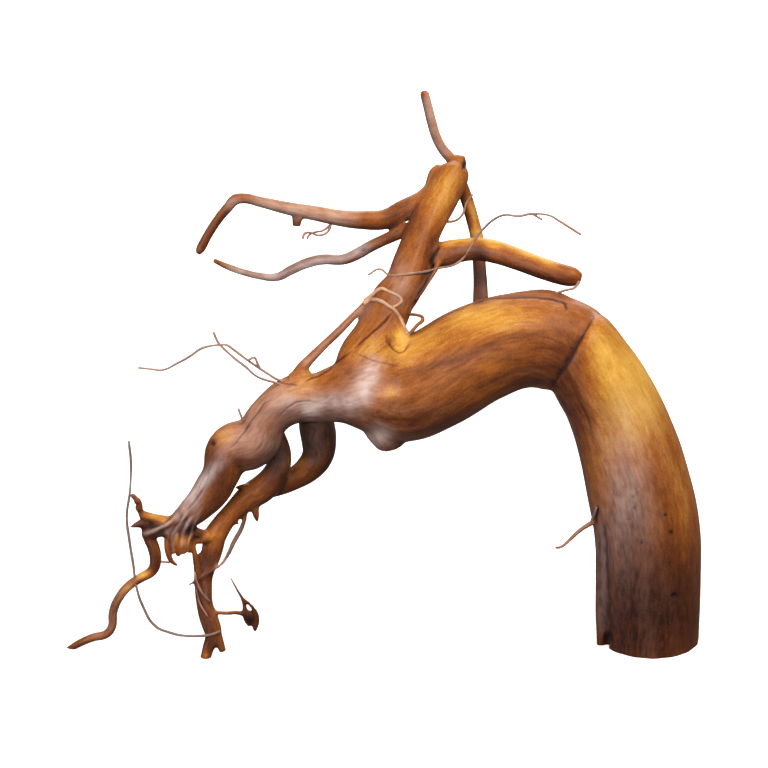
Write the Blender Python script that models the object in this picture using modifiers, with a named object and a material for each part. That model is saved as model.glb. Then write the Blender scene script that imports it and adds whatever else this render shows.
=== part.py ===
"""Aquarium root wood: a thick bent trunk that arches over onto forked, splintered roots, as one grown solid.

Every limb is a route of hand-chosen points. A point is written as it looks from the viewing side, in
millimetres: right and up in the viewing plane, back along the ground, and the limb's radius there.
"""

import math

import bmesh
import bpy
import numpy as np
from mathutils import Vector

MM = 0.001
NAME = "root_wood"

# The viewing side, which the routes are written for
VIEW_TILT = math.radians(20.0)
VIEW_DISTANCE = 700.0
AIM_HEIGHT = 82.3
# From the trunk's foot plane to the middle of the box
SHIFT_RIGHT = -0.1
SHIFT_BACK = -30.2

# The voxel body and its final number of triangles
VOXEL = 0.6 * MM
SMOOTH_ROUNDS = 4
BODY_TRIANGLES = 6700
WELD_DISTANCE = 0.01 * MM
# Rings between two route points, and sides of a ring as a bevel resolution
LIMB_STEPS = 5
ROOTLET_STEPS = 2
LIMB_SIDES = 6
STRAND_SIDES = 1
HAIR_SIDES = 0
# Half of what a four-sided hair needs to stay 0.6 mm thick
THINNEST_HAIR = 0.43
HAIR_RADIUS = 0.55
# How fast a crease fades where the surface turns away from the viewer
CREASE_FACING = 3
GROUND_WIDTH = 400 * MM
GROUND_DEPTH = 60 * MM

TRUNK = [
    (77.4, -90.0, 1.5, 14.6),
    (77.4, -74.9, 1.5, 14.9),
    (77.5, -58.8, 1.0, 15.4),
    (77.1, -42.7, 0.5, 15.6),
    (74.5, -29.4, 0.0, 15.4),
    (71.3, -17.4, -0.5, 14.7),
    (66.5, -5.3, -0.5, 13.8),
    (60.9, 4.3, -1.1, 13.2),
    (55.6, 14.0, -1.5, 11.2),
    (53.0, 18.5, -1.5, 7.4),
]
# The miter where the trunk folds over into the arch: a point of its plane, and the plane's normal as seen
FOLD_POINT = (54.9, 8.8, 0.0)
FOLD_NORMAL = (-0.87, 0.5)
ARCH = [
    (61.3, 1.3, 1.6, 9.0),
    (57.0, 8.8, 2.7, 12.8),
    (51.2, 11.7, 3.0, 14.2),
    (41.8, 12.9, 3.0, 14.2),
    (28.3, 9.1, 1.5, 14.9),
    (14.0, 1.1, 0.0, 15.2),
    (4.9, -1.8, -1.0, 15.5),
    (-2.4, -2.4, -2.0, 12.8),
    (-11.2, -2.6, -3.0, 9.6),
    (-19.2, -4.0, -4.0, 7.4),
    (-25.7, -4.4, -5.0, 7.3),
    (-33.4, -9.6, -6.0, 6.4),
    (-38.2, -17.3, -8.0, 7.5),
    (-44.4, -18.9, -9.0, 7.2),
    (-47.4, -26.2, -10.0, 5.7),
    (-50.1, -31.0, -10.0, 5.6),
    (-53.2, -34.8, -11.0, 4.9),
    (-56.7, -38.0, -11.0, 4.2),
    (-59.8, -40.2, -12.0, 3.2),
]
BACK_RIDGE = [
    (26.5, 17.6, 7.0, 3.4),
    (33.9, 21.3, 9.0, 4.2),
    (41.5, 23.0, 10.0, 4.4),
    (49.1, 22.9, 10.0, 4.6),
    (54.6, 20.2, 9.0, 4.3),
    (57.6, 17.8, 8.5, 3.4),
]
CHIN = [
    (0.8, -9.5, -3.0, 8.6),
    (1.4, -14.8, -3.0, 6.2),
    (2.2, -18.0, -2.6, 4.2),
]
MAIN_BRANCH = [
    (20.4, 63.6, 48.5, 3.6),
    (20.3, 61.7, 47.0, 5.0),
    (17.2, 55.1, 41.0, 5.2),
    (11.9, 45.0, 32.0, 5.25),
    (8.6, 36.0, 24.0, 5.7),
    (5.6, 28.1, 17.0, 6.0),
    (2.7, 24.3, 13.4, 6.5),
    (1.0, 20.2, 10.0, 6.6),
    (-2.6, 13.5, 5.0, 6.8),
    (-5.8, 7.3, 2.0, 7.8),
    (-6.5, 1.8, 0.0, 8.2),
]
TOP_KNOT = [
    (19.6, 64.4, 48.5, 2.0),
    (21.7, 64.6, 48.5, 2.6),
    (24.0, 64.8, 48.0, 2.0),
]
TOP_TWIG = [
    (21.0, 64.0, 48.5, 1.8),
    (19.2, 66.5, 50.0, 1.65),
    (17.5, 68.5, 52.0, 1.55),
    (15.6, 71.9, 56.0, 1.5),
    (14.2, 76.3, 62.0, 1.5),
    (13.1, 80.7, 69.0, 1.45),
    (12.0, 85.0, 76.0, 1.4),
]
BACK_LIMB = [
    (21.5, 60.8, 49.0, 2.2),
    (23.9, 55.3, 50.5, 1.95),
    (26.0, 48.3, 47.0, 1.95),
    (27.5, 42.0, 42.0, 2.0),
    (28.1, 34.8, 35.0, 2.0),
    (28.4, 28.1, 25.0, 2.2),
    (28.4, 22.2, 15.0, 2.5),
    (28.1, 17.3, 9.0, 2.8),
]
RIGHT_LIMB = [
    (12.5, 36.8, 26.0, 3.4),
    (19.0, 38.2, 26.0, 3.9),
    (22.9, 39.1, 25.0, 3.5),
    (28.3, 39.4, 23.0, 3.5),
    (33.6, 38.4, 21.0, 3.5),
    (39.5, 36.4, 19.0, 3.35),
    (46.5, 33.8, 16.0, 3.25),
    (52.3, 32.0, 14.0, 3.2),
    (55.8, 31.2, 13.2, 2.9),
    (57.9, 30.6, 12.8, 1.7),
]
UPPER_LEFT_BRANCH = [
    (18.0, 62.2, 47.0, 2.6),
    (16.2, 59.0, 45.0, 2.9),
    (12.2, 54.0, 41.0, 3.2),
    (6.1, 50.8, 38.0, 3.3),
    (0.6, 48.2, 36.0, 3.05),
    (-5.6, 47.9, 34.0, 2.85),
    (-12.6, 48.5, 31.0, 2.5),
    (-19.3, 49.8, 29.0, 2.3),
    (-28.1, 51.4, 26.0, 2.0),
    (-35.7, 53.2, 24.0, 1.65),
    (-40.9, 54.3, 22.0, 1.6),
    (-43.5, 53.8, 21.0, 1.65),
    (-45.2, 51.9, 20.6, 1.55),
    (-47.6, 49.1, 20.0, 1.45),
    (-51.1, 43.9, 18.5, 1.4),
    (-53.5, 39.4, 17.2, 1.4),
    (-54.3, 38.0, 16.8, 0.8),
]
BRANCH_KNUCKLE = [
    (13.0, 56.7, 43.5, 1.2),
    (13.8, 59.4, 45.0, 1.35),
    (14.8, 62.0, 46.5, 1.35),
    (16.6, 63.6, 47.5, 1.2),
]
BRANCH_STUB = [
    (-25.0, 50.5, 27.0, 1.7),
    (-25.2, 48.4, 27.0, 1.55),
    (-25.4, 46.2, 27.0, 1.3),
]
LOWER_LEFT_BRANCH = [
    (10.5, 46.6, 33.0, 2.1),
    (5.8, 44.6, 34.0, 1.95),
    (0.6, 42.3, 36.0, 1.75),
    (-3.8, 40.2, 37.5, 1.75),
    (-7.9, 37.9, 39.0, 1.75),
    (-11.7, 36.4, 40.0, 1.6),
    (-17.8, 36.4, 41.5, 1.6),
    (-22.5, 35.3, 42.5, 1.55),
    (-27.2, 33.2, 43.5, 1.45),
    (-31.1, 31.3, 44.0, 1.3),
    (-36.3, 31.6, 44.0, 1.1),
    (-40.9, 32.7, 43.5, 1.05),
    (-45.3, 34.2, 43.0, 1.0),
    (-49.6, 36.2, 42.0, 0.75),
]
STRUT = [
    (-26.0, 1.4, -5.0, 1.7),
    (-24.0, 4.4, -4.2, 1.75),
    (-21.5, 7.2, -2.5, 1.5),
    (-17.3, 11.4, 0.5, 1.3),
    (-13.3, 15.2, 3.4, 1.25),
    (-8.4, 20.2, 8.0, 1.1),
    (-5.2, 23.6, 11.3, 0.95),
]
LOOSE_STRIP = [
    (16.4, 36.0, 23.0, 0.9),
    (14.9, 33.0, 20.5, 0.85),
    (12.8, 29.6, 17.8, 0.75),
    (10.9, 26.6, 14.2, 0.7),
    (9.4, 24.6, 11.6, 0.6),
]
COLLAR = [
    (-27.4, 1.2, -5.5, 1.8),
    (-24.4, 2.0, -5.2, 2.4),
    (-21.2, 2.0, -4.4, 1.9),
]
TOE_KNUCKLE = [
    (2.0, 19.3, 5.2, 1.6),
    (3.1, 17.3, 4.6, 2.4),
    (4.1, 15.2, 3.9, 3.0),
    (4.8, 13.2, 0.6, 3.1),
    (5.4, 11.4, -2.7, 2.7),
    (5.7, 10.1, -4.7, 2.0),
    (5.8, 9.4, -5.6, 1.1),
]
LOOP_FOOT = [
    (5.3, 17.0, 3.2, 0.9),
    (6.1, 15.2, 1.4, 1.0),
    (7.0, 13.7, -0.8, 0.9),
]
UNDER_LIMB = [
    (-19.9, -6.1, 0.0, 5.0),
    (-19.5, -12.0, 5.0, 5.4),
    (-18.9, -16.1, 7.0, 5.3),
    (-19.2, -21.0, 7.0, 4.7),
    (-22.0, -24.8, 5.5, 4.1),
    (-25.7, -27.4, 3.5, 3.5),
    (-30.4, -29.5, 1.0, 3.2),
    (-35.7, -31.0, -1.0, 3.0),
]
FORWARD_LIMB = [
    (-32.4, -13.5, -2.0, 3.2),
    (-30.2, -21.8, -1.0, 3.5),
    (-31.4, -25.7, -2.0, 3.7),
    (-34.9, -30.2, -3.0, 4.2),
    (-39.4, -33.1, -4.0, 3.9),
    (-43.6, -36.9, -6.0, 3.1),
    (-46.6, -40.3, -8.0, 3.1),
    (-49.3, -44.4, -9.0, 3.5),
]
FRONT_LEG = [
    (-48.4, -42.0, -9.0, 2.6),
    (-49.4, -45.6, -9.0, 3.3),
    (-50.5, -50.6, -9.5, 2.95),
    (-51.9, -55.6, -10.0, 2.3),
    (-52.0, -60.2, -10.5, 2.0),
    (-51.7, -64.6, -11.0, 2.0),
    (-50.4, -69.0, -11.5, 2.35),
    (-49.7, -73.4, -12.0, 2.45),
    (-51.2, -77.2, -12.5, 1.75),
    (-52.2, -81.2, -12.5, 1.6),
]
LEG_WEB = [
    (-53.2, -49.4, -10.0, 0.9),
    (-53.5, -53.0, -10.6, 1.4),
    (-53.2, -57.0, -11.0, 1.3),
]
BRIDGE_LUMP = [
    (-57.4, -42.0, -11.4, 0.5),
    (-55.8, -42.6, -11.4, 1.1),
    (-54.0, -43.4, -11.4, 1.3),
    (-52.0, -43.8, -10.6, 1.1),
]
KNOT_LOBE = [
    (-50.8, -44.2, -10.6, 2.3),
    (-52.6, -45.2, -11.0, 1.6),
    (-54.0, -46.0, -11.0, 1.0),
    (-54.8, -46.6, -10.9, 0.4),
]
SPLIT_END = [
    (-57.9, -39.2, -11.5, 3.4),
    (-61.1, -40.9, -12.0, 2.8),
    (-64.0, -42.1, -12.0, 2.4),
    (-66.7, -42.8, -12.0, 2.3),
    (-69.2, -43.3, -12.0, 2.3),
    (-70.6, -43.3, -12.0, 1.6),
]
END_WEB = [
    (-69.6, -40.1, -12.0, 0.9),
    (-67.0, -40.5, -12.0, 1.2),
    (-64.3, -41.2, -12.0, 1.4),
]
LEFT_ROOT = [
    (-68.1, -42.4, -12.0, 1.4),
    (-68.6, -44.4, -12.0, 1.75),
    (-67.3, -47.5, -12.5, 1.85),
    (-66.6, -51.5, -13.0, 1.75),
    (-67.5, -54.5, -13.0, 1.6),
    (-70.8, -56.6, -13.0, 1.45),
    (-74.3, -58.9, -12.5, 1.4),
    (-77.3, -62.5, -12.0, 1.35),
    (-79.0, -66.6, -11.0, 1.35),
    (-79.4, -71.1, -10.0, 1.3),
    (-81.0, -73.1, -9.5, 1.3),
    (-84.8, -74.1, -8.5, 1.25),
    (-88.9, -75.8, -7.5, 1.15),
    (-92.3, -77.8, -6.0, 0.95),
]
BARK_STRIP = [
    (63.4, -33.0, -2.5, 0.9),
    (63.5, -40.0, -3.5, 1.5),
    (63.7, -55.0, -4.0, 1.7),
    (63.6, -68.0, -4.0, 1.6),
    (63.3, -75.5, -4.2, 1.0),
    (63.2, -80.0, -4.2, 0.9),
]
LIMBS = {
    "trunk": TRUNK,
    "arch": ARCH,
    "back_ridge": BACK_RIDGE,
    "chin": CHIN,
    "main_branch": MAIN_BRANCH,
    "top_knot": TOP_KNOT,
    "top_twig": TOP_TWIG,
    "back_limb": BACK_LIMB,
    "right_limb": RIGHT_LIMB,
    "upper_left_branch": UPPER_LEFT_BRANCH,
    "branch_knuckle": BRANCH_KNUCKLE,
    "branch_stub": BRANCH_STUB,
    "lower_left_branch": LOWER_LEFT_BRANCH,
    "strut": STRUT,
    "collar": COLLAR,
    "loose_strip": LOOSE_STRIP,
    "toe_knuckle": TOE_KNUCKLE,
    "loop_foot": LOOP_FOOT,
    "under_limb": UNDER_LIMB,
    "forward_limb": FORWARD_LIMB,
    "front_leg": FRONT_LEG,
    "knot_lobe": KNOT_LOBE,
    "leg_web": LEG_WEB,
    "bridge_lump": BRIDGE_LUMP,
    "split_end": SPLIT_END,
    "end_web": END_WEB,
    "left_root": LEFT_ROOT,
    "bark_strip": BARK_STRIP,
}

UPPER_STRAND = [
    (-5.3, 24.1, 11.0, 0.8),
    (-3.2, 26.0, 11.0, 0.7),
    (-0.6, 27.8, 10.2, 0.6),
    (1.2, 27.2, 8.9, 0.5),
    (2.8, 26.5, 8.2, 0.5),
    (4.4, 25.7, 7.9, 0.5),
    (5.3, 24.4, 7.4, 0.52),
    (4.4, 23.2, 6.2, 0.48),
    (2.8, 22.4, 5.1, 0.5),
]
LOWER_STRAND = [
    (-5.8, 23.5, 10.5, 0.8),
    (-4.1, 24.4, 10.5, 0.7),
    (-2.3, 24.6, 8.0, 0.62),
    (-0.3, 24.0, 6.2, 0.6),
    (1.5, 22.8, 5.1, 0.6),
    (2.9, 21.8, 4.7, 0.6),
    (3.9, 20.9, 4.7, 0.6),
    (5.0, 19.2, 4.6, 0.6),
    (5.9, 17.0, 3.0, 0.6),
    (6.8, 15.4, 0.6, 0.6),
    (7.1, 14.3, -1.2, 0.6),
]
LOOP = [
    (7.0, 13.9, -0.8, 0.55),
    (8.5, 15.6, -0.4, 0.58),
    (10.2, 17.5, 0.5, 0.6),
    (11.4, 18.5, 1.8, 0.6),
    (11.4, 19.5, 3.4, 0.52),
    (10.1, 20.1, 5.5, 0.46),
    (7.6, 20.4, 8.0, 0.46),
]
LONG_HAIR = [
    (-74.4, -16.7, -13.0, 0.36),
    (-73.8, -23.1, -13.0, 0.36),
    (-74.1, -31.6, -13.0, 0.38),
    (-75.0, -38.6, -13.0, 0.4),
    (-74.4, -44.7, -13.2, 0.4),
    (-73.2, -52.3, -13.6, 0.4),
    (-72.3, -58.8, -13.8, 0.4),
    (-70.4, -64.8, -14.0, 0.42),
    (-66.6, -70.9, -14.3, 0.42),
    (-62.6, -72.6, -14.5, 0.42),
    (-59.0, -73.5, -14.6, 0.42),
    (-52.9, -73.6, -14.7, 0.4),
    (-50.2, -73.2, -14.7, 0.38),
    (-47.6, -72.3, -13.6, 0.36),
]
CROSSING_HAIR = [
    (-4.4, 31.9, 20.0, 0.36),
    (-1.2, 33.6, 19.5, 0.36),
    (1.4, 32.0, 16.9, 0.36),
    (3.2, 31.7, 14.2, 0.36),
    (6.1, 32.0, 13.6, 0.38),
    (9.1, 32.4, 14.6, 0.38),
    (12.0, 32.8, 17.0, 0.38),
    (16.4, 33.9, 21.2, 0.36),
    (20.8, 34.9, 21.5, 0.36),
    (23.6, 37.0, 21.6, 0.38),
    (25.1, 39.4, 21.0, 0.38),
    (26.9, 42.6, 22.0, 0.36),
    (29.5, 45.6, 22.0, 0.36),
    (32.5, 48.2, 21.5, 0.36),
    (35.4, 49.4, 21.0, 0.36),
    (39.5, 49.1, 20.0, 0.36),
    (43.0, 49.7, 19.0, 0.36),
    (48.5, 49.3, 17.5, 0.36),
    (51.2, 47.8, 16.5, 0.36),
    (54.7, 45.6, 15.0, 0.36),
    (57.9, 43.6, 14.0, 0.36),
]
COLLAR_HAIR = [
    (-26.5, -1.0, -6.0, 0.5),
    (-28.6, 0.6, -6.0, 0.45),
    (-30.9, 1.3, -5.5, 0.42),
    (-33.6, 2.9, -5.0, 0.4),
    (-38.9, 6.4, -4.0, 0.38),
    (-43.6, 9.9, -3.0, 0.36),
    (-45.9, 11.4, -2.5, 0.36),
    (-48.0, 11.4, -2.0, 0.36),
    (-52.9, 10.5, -1.0, 0.36),
    (-56.4, 8.2, 0.0, 0.36),
    (-60.2, 6.1, 1.0, 0.36),
    (-64.6, 4.1, 2.0, 0.36),
    (-68.1, 4.4, 3.0, 0.36),
    (-71.6, 4.7, 4.0, 0.36),
]
SECOND_COLLAR_HAIR = [
    (-28.0, -1.5, -7.0, 0.42),
    (-31.0, 0.2, -7.5, 0.4),
    (-35.1, 1.4, -8.0, 0.38),
    (-37.1, 2.3, -8.0, 0.36),
    (-40.6, 5.3, -8.5, 0.36),
    (-43.6, 7.6, -8.5, 0.36),
    (-46.8, 10.5, -9.0, 0.36),
    (-48.2, 12.0, -9.0, 0.36),
    (-49.7, 15.2, -9.5, 0.36),
]
HORN = [
    (-63.2, -40.2, -12.0, 1.7),
    (-65.8, -39.4, -12.0, 1.35),
    (-68.2, -38.8, -12.2, 1.25),
    (-70.0, -38.4, -12.4, 1.45),
    (-71.0, -37.2, -12.6, 0.95),
    (-71.4, -36.0, -12.8, 1.25),
    (-71.2, -35.0, -12.9, 0.8),
    (-71.9, -34.2, -13.0, 1.15),
    (-72.6, -33.3, -13.0, 0.7),
    (-73.2, -32.7, -12.9, 0.85),
    (-74.0, -32.5, -12.8, 0.4),
]
LEFT_SPIKE = [
    (-68.7, -41.1, -12.2, 1.6),
    (-71.1, -40.9, -12.5, 1.25),
    (-72.7, -41.4, -12.8, 0.75),
    (-74.0, -41.9, -13.0, 0.4),
]
SPLINTERS = {
    "splinter_first": [
        (-62.6, -42.4, -12.6, 1.3),
        (-63.1, -45.9, -12.9, 1.05),
        (-62.9, -49.4, -13.0, 0.95),
        (-61.9, -51.8, -12.9, 0.75),
        (-60.2, -53.1, -12.6, 0.42),
    ],
    "splinter_second": [
        (-61.4, -42.1, -12.9, 1.2),
        (-61.6, -45.9, -13.2, 0.95),
        (-61.1, -49.7, -13.2, 0.55),
    ],
    "splinter_third": [
        (-60.2, -42.1, -12.8, 1.2),
        (-59.9, -45.9, -13.1, 1.0),
        (-59.5, -50.1, -13.0, 0.55),
    ],
    "splinter_fourth": [
        (-59.1, -41.8, -12.4, 1.2),
        (-58.6, -45.6, -12.7, 0.95),
        (-58.1, -49.7, -12.6, 0.5),
    ],
    "splinter_fifth": [
        (-57.9, -41.5, -11.8, 1.2),
        (-57.3, -45.6, -12.0, 0.95),
        (-56.7, -49.3, -11.8, 0.55),
    ],
    "splinter_back": [
        (-61.1, -42.7, -10.6, 1.6),
        (-60.5, -46.8, -10.8, 1.3),
        (-59.9, -50.3, -10.8, 0.7),
    ],
}
THIN_LINK = [
    (-66.7, -51.5, -13.0, 0.5),
    (-64.6, -52.0, -12.9, 0.42),
    (-62.4, -52.2, -12.7, 0.42),
]
SIDE_STRAND = [
    (-55.3, -43.2, -11.2, 0.95),
    (-55.6, -45.9, -11.2, 0.75),
    (-55.4, -48.2, -11.3, 0.75),
    (-55.0, -50.6, -11.5, 0.9),
    (-54.6, -53.6, -11.6, 0.95),
    (-54.4, -57.9, -11.7, 0.95),
    (-53.9, -63.5, -11.8, 0.95),
    (-52.9, -68.7, -12.3, 0.95),
    (-51.3, -73.5, -13.4, 0.8),
]
RIGHT_TOE = [
    (-49.4, -71.5, -12.0, 1.7),
    (-48.0, -75.2, -12.4, 1.4),
    (-46.9, -78.2, -12.6, 1.05),
]
CROSSING_SPIKE = [
    (-40.2, -36.5, -5.5, 0.7),
    (-40.6, -39.5, -6.5, 0.7),
    (-41.5, -42.2, -7.5, 0.75),
    (-43.6, -46.0, -9.0, 0.75),
    (-45.4, -49.8, -10.5, 0.62),
    (-47.2, -52.5, -11.6, 0.5),
    (-49.5, -54.3, -12.2, 0.42),
    (-53.2, -56.6, -12.4, 0.36),
    (-57.0, -58.8, -12.2, 0.36),
]
SIDE_TWIG = [
    (-51.5, -66.6, -11.5, 0.6),
    (-46.0, -67.0, -11.8, 0.6),
    (-42.5, -66.9, -11.5, 0.65),
    (-40.5, -67.4, -11.0, 0.75),
]
CHUNK_SPIKE = [
    (-44.7, -56.6, -11.0, 0.36),
    (-42.7, -60.2, -11.2, 0.43),
    (-41.2, -62.9, -11.2, 0.55),
    (-40.6, -65.0, -11.1, 0.62),
    (-40.3, -67.2, -11.0, 0.95),
    (-39.9, -69.3, -10.8, 0.8),
    (-39.2, -70.9, -10.8, 0.42),
]
CHUNK_ARM = [
    (-41.2, -62.7, -11.3, 0.5),
    (-39.3, -64.2, -11.2, 0.5),
    (-38.1, -65.6, -10.9, 0.6),
    (-37.4, -67.4, -10.6, 1.0),
    (-37.4, -69.6, -10.4, 1.2),
    (-37.5, -71.4, -10.4, 0.8),
    (-37.5, -72.4, -10.4, 0.42),
]
CHUNK_HEART = [
    (-40.3, -66.7, -11.0, 1.0),
    (-39.0, -67.7, -10.8, 1.35),
    (-37.6, -68.4, -10.6, 1.1),
]
HEEL_STUB = [
    (-38.0, -33.5, -5.0, 1.7),
    (-37.5, -36.8, -5.5, 1.25),
    (-37.1, -38.8, -5.7, 0.9),
    (-36.8, -40.2, -5.8, 0.45),
]
UPPER_STUB = [
    (-38.0, -30.8, -4.5, 1.8),
    (-41.0, -30.2, -5.0, 1.1),
    (-43.3, -30.3, -5.3, 0.45),
]
SMALL_THORN = [
    (-44.2, -39.2, -7.8, 0.9),
    (-43.2, -40.3, -8.0, 0.6),
    (-42.3, -41.1, -8.2, 0.4),
]
TRUNK_THORN = [
    (65.0, -39.0, -3.0, 0.95),
    (60.6, -40.8, -3.6, 0.8),
    (57.0, -43.2, -4.2, 0.68),
    (53.8, -46.2, -5.0, 0.58),
    (51.8, -47.7, -5.6, 0.5),
    (50.0, -47.9, -6.0, 0.43),
]
LIMB_END_HAIR = [
    (55.8, 30.6, 13.0, 0.6),
    (57.0, 30.6, 12.0, 0.5),
    (56.2, 28.4, 10.5, 0.42),
    (52.8, 27.3, 9.0, 0.4),
    (49.2, 26.0, 9.0, 0.4),
]
BRANCH_HAIR = [
    (-15.2, 47.5, 30.0, 0.4),
    (-16.1, 44.7, 29.0, 0.36),
    (-18.4, 43.5, 28.0, 0.36),
    (-22.8, 44.1, 27.0, 0.36),
    (-23.7, 42.4, 26.5, 0.36),
]
SECOND_BRANCH_HAIR = [
    (-15.4, 46.6, 29.8, 0.36),
    (-17.6, 44.9, 28.8, 0.36),
    (-20.5, 44.2, 27.8, 0.36),
    (-21.8, 43.4, 27.2, 0.36),
    (-22.3, 42.3, 27.0, 0.36),
]
SHORT_HAIR = [
    (17.0, 47.6, 35.5, 0.4),
    (20.8, 47.7, 38.5, 0.38),
    (23.1, 49.6, 42.0, 0.36),
    (24.3, 53.0, 46.5, 0.36),
    (26.0, 55.3, 50.0, 0.38),
]
HAIR_SPUR = [
    (43.6, 49.8, 18.9, 0.38),
    (46.5, 48.0, 18.0, 0.36),
]
KNOB_HAIR = [
    (-40.6, -12.6, -8.5, 0.4),
    (-41.2, -10.6, -10.5, 0.38),
    (-41.7, -9.0, -10.6, 0.36),
    (-42.4, -7.2, -10.6, 0.36),
]
HAIR_FORK = [
    (-36.2, 4.7, -4.5, 0.38),
    (-36.9, 6.2, -4.6, 0.36),
    (-37.8, 7.7, -4.7, 0.36),
    (-38.3, 7.6, -4.8, 0.36),
    (-39.4, 7.0, -4.8, 0.36),
]
ROOTLETS = {
    "upper_strand": UPPER_STRAND,
    "lower_strand": LOWER_STRAND,
    "loop": LOOP,
    "long_hair": LONG_HAIR,
    "crossing_hair": CROSSING_HAIR,
    "collar_hair": COLLAR_HAIR,
    "second_collar_hair": SECOND_COLLAR_HAIR,
    "horn": HORN,
    "left_spike": LEFT_SPIKE,
    "thin_link": THIN_LINK,
    "side_strand": SIDE_STRAND,
    "right_toe": RIGHT_TOE,
    "crossing_spike": CROSSING_SPIKE,
    "side_twig": SIDE_TWIG,
    "chunk_spike": CHUNK_SPIKE,
    "chunk_arm": CHUNK_ARM,
    "chunk_heart": CHUNK_HEART,
    "heel_stub": HEEL_STUB,
    "upper_stub": UPPER_STUB,
    "small_thorn": SMALL_THORN,
    "trunk_thorn": TRUNK_THORN,
    "limb_end_hair": LIMB_END_HAIR,
    "branch_hair": BRANCH_HAIR,
    "second_branch_hair": SECOND_BRANCH_HAIR,
    "short_hair": SHORT_HAIR,
    "hair_spur": HAIR_SPUR,
    "knob_hair": KNOB_HAIR,
    "hair_fork": HAIR_FORK,
    **SPLINTERS,
}

# Folds and cracks, as seen: their route, half width and depth
CREASES = [
    ([(59.4, 17.3), (57.4, 13.4), (55.2, 9.2), (53.0, 4.6), (50.3, 0.8)], 1.0, 0.7),
    ([(30.4, 24.9), (37.4, 25.6), (45.0, 25.6), (50.0, 24.8), (53.2, 23.4), (54.5, 21.0)], 1.2, 0.9),
    ([(53.5, 2.6), (59.6, -9.6), (61.4, -16.7), (64.0, -24.9)], 1.2, 0.6),
    ([(64.6, -41.8), (65.5, -55.0), (65.8, -61.7), (65.5, -78.0)], 1.2, 1.0),
    ([(-31.9, -3.2), (-36.0, -7.0), (-38.9, -11.1), (-43.3, -15.2), (-45.9, -19.6)], 1.2, 1.0),
    ([(-30.7, -9.9), (-28.7, -7.3), (-25.4, -5.3), (-21.6, -5.0), (-18.1, -6.4)], 1.2, 0.9),
    ([(2.6, 20.5), (-8.8, 9.9), (-14.3, 5.6), (-22.2, 0.6)], 1.2, 0.9),
]


def seen(right, up, back):
    """The place in metres of a point written as it looks from the viewing side, in millimetres."""
    nearness = (1 + back / (VIEW_DISTANCE * math.cos(VIEW_TILT))) / (
        1 + up * math.tan(VIEW_TILT) / VIEW_DISTANCE
    )
    height = (up * nearness - back * math.sin(VIEW_TILT)) / math.cos(VIEW_TILT) + AIM_HEIGHT
    place = Vector((right * nearness + SHIFT_RIGHT, back + SHIFT_BACK, height))
    return place * MM, nearness


def clear_scene():
    for obj in list(bpy.data.objects):
        bpy.data.objects.remove(obj, do_unlink=True)


def new_collection(name):
    collection = bpy.data.collections.new(name)
    bpy.context.scene.collection.children.link(collection)
    return collection


def as_mesh(obj, collection):
    """Puts the evaluated mesh of a curve or of a modified object in its place."""
    graph = bpy.context.evaluated_depsgraph_get()
    mesh = bpy.data.meshes.new_from_object(obj.evaluated_get(graph))
    solid = bpy.data.objects.new(obj.name + "_mesh", mesh)
    solid.matrix_world = obj.matrix_world
    collection.objects.link(solid)
    bpy.data.objects.remove(obj, do_unlink=True)
    return solid


def weld(mesh):
    work = bmesh.new()
    work.from_mesh(mesh)
    bmesh.ops.remove_doubles(work, verts=work.verts, dist=WELD_DISTANCE)
    bmesh.ops.recalc_face_normals(work, faces=work.faces)
    work.to_mesh(mesh)
    work.free()


def limb(name, route, steps, sides, collection):
    """A round limb with closed ends along a route, smooth through its points."""
    curve = bpy.data.curves.new(name, "CURVE")
    curve.dimensions = "3D"
    curve.resolution_u = steps
    curve.bevel_depth = MM
    curve.bevel_resolution = sides
    curve.use_fill_caps = True
    spline = curve.splines.new("BEZIER")
    spline.bezier_points.add(len(route) - 1)
    spline.radius_interpolation = "CARDINAL"
    for point, (right, up, back, radius) in zip(spline.bezier_points, route):
        place, nearness = seen(right, up, back)
        point.co = place
        point.radius = max(radius, THINNEST_HAIR) * nearness
        point.handle_left_type = "AUTO"
        point.handle_right_type = "AUTO"
    obj = bpy.data.objects.new(name, curve)
    collection.objects.link(obj)
    solid = as_mesh(obj, collection)
    weld(solid.data)
    return solid


def fold_over(trunk):
    """Cuts the trunk's upper end off at the miter, where the arch takes over."""
    point, _ = seen(*FOLD_POINT)
    right, up = FOLD_NORMAL
    normal = Vector((right, up * math.sin(VIEW_TILT), up * math.cos(VIEW_TILT)))
    work = bmesh.new()
    work.from_mesh(trunk.data)
    everything = work.verts[:] + work.edges[:] + work.faces[:]
    bmesh.ops.bisect_plane(work, geom=everything, plane_co=point, plane_no=normal, clear_outer=True)
    rim = [edge for edge in work.edges if edge.is_boundary]
    bmesh.ops.contextual_create(work, geom=rim)
    work.to_mesh(trunk.data)
    work.free()


def joined(solids, name, collection):
    """All the solids' faces in one object."""
    work = bmesh.new()
    for solid in solids:
        work.from_mesh(solid.data)
        bpy.data.objects.remove(solid, do_unlink=True)
    mesh = bpy.data.meshes.new(name)
    work.to_mesh(mesh)
    work.free()
    obj = bpy.data.objects.new(name, mesh)
    collection.objects.link(obj)
    return obj


def as_seen(points):
    """Right and up in the viewing plane, in millimetres, of points in metres."""
    right = points[:, 0] / MM - SHIFT_RIGHT
    back = points[:, 1] / MM - SHIFT_BACK
    height = points[:, 2] / MM - AIM_HEIGHT
    up = height * math.cos(VIEW_TILT) + back * math.sin(VIEW_TILT)
    away = VIEW_DISTANCE + back * math.cos(VIEW_TILT) - height * math.sin(VIEW_TILT)
    return np.stack([right, up], axis=1) * (VIEW_DISTANCE / away)[:, None]


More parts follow.
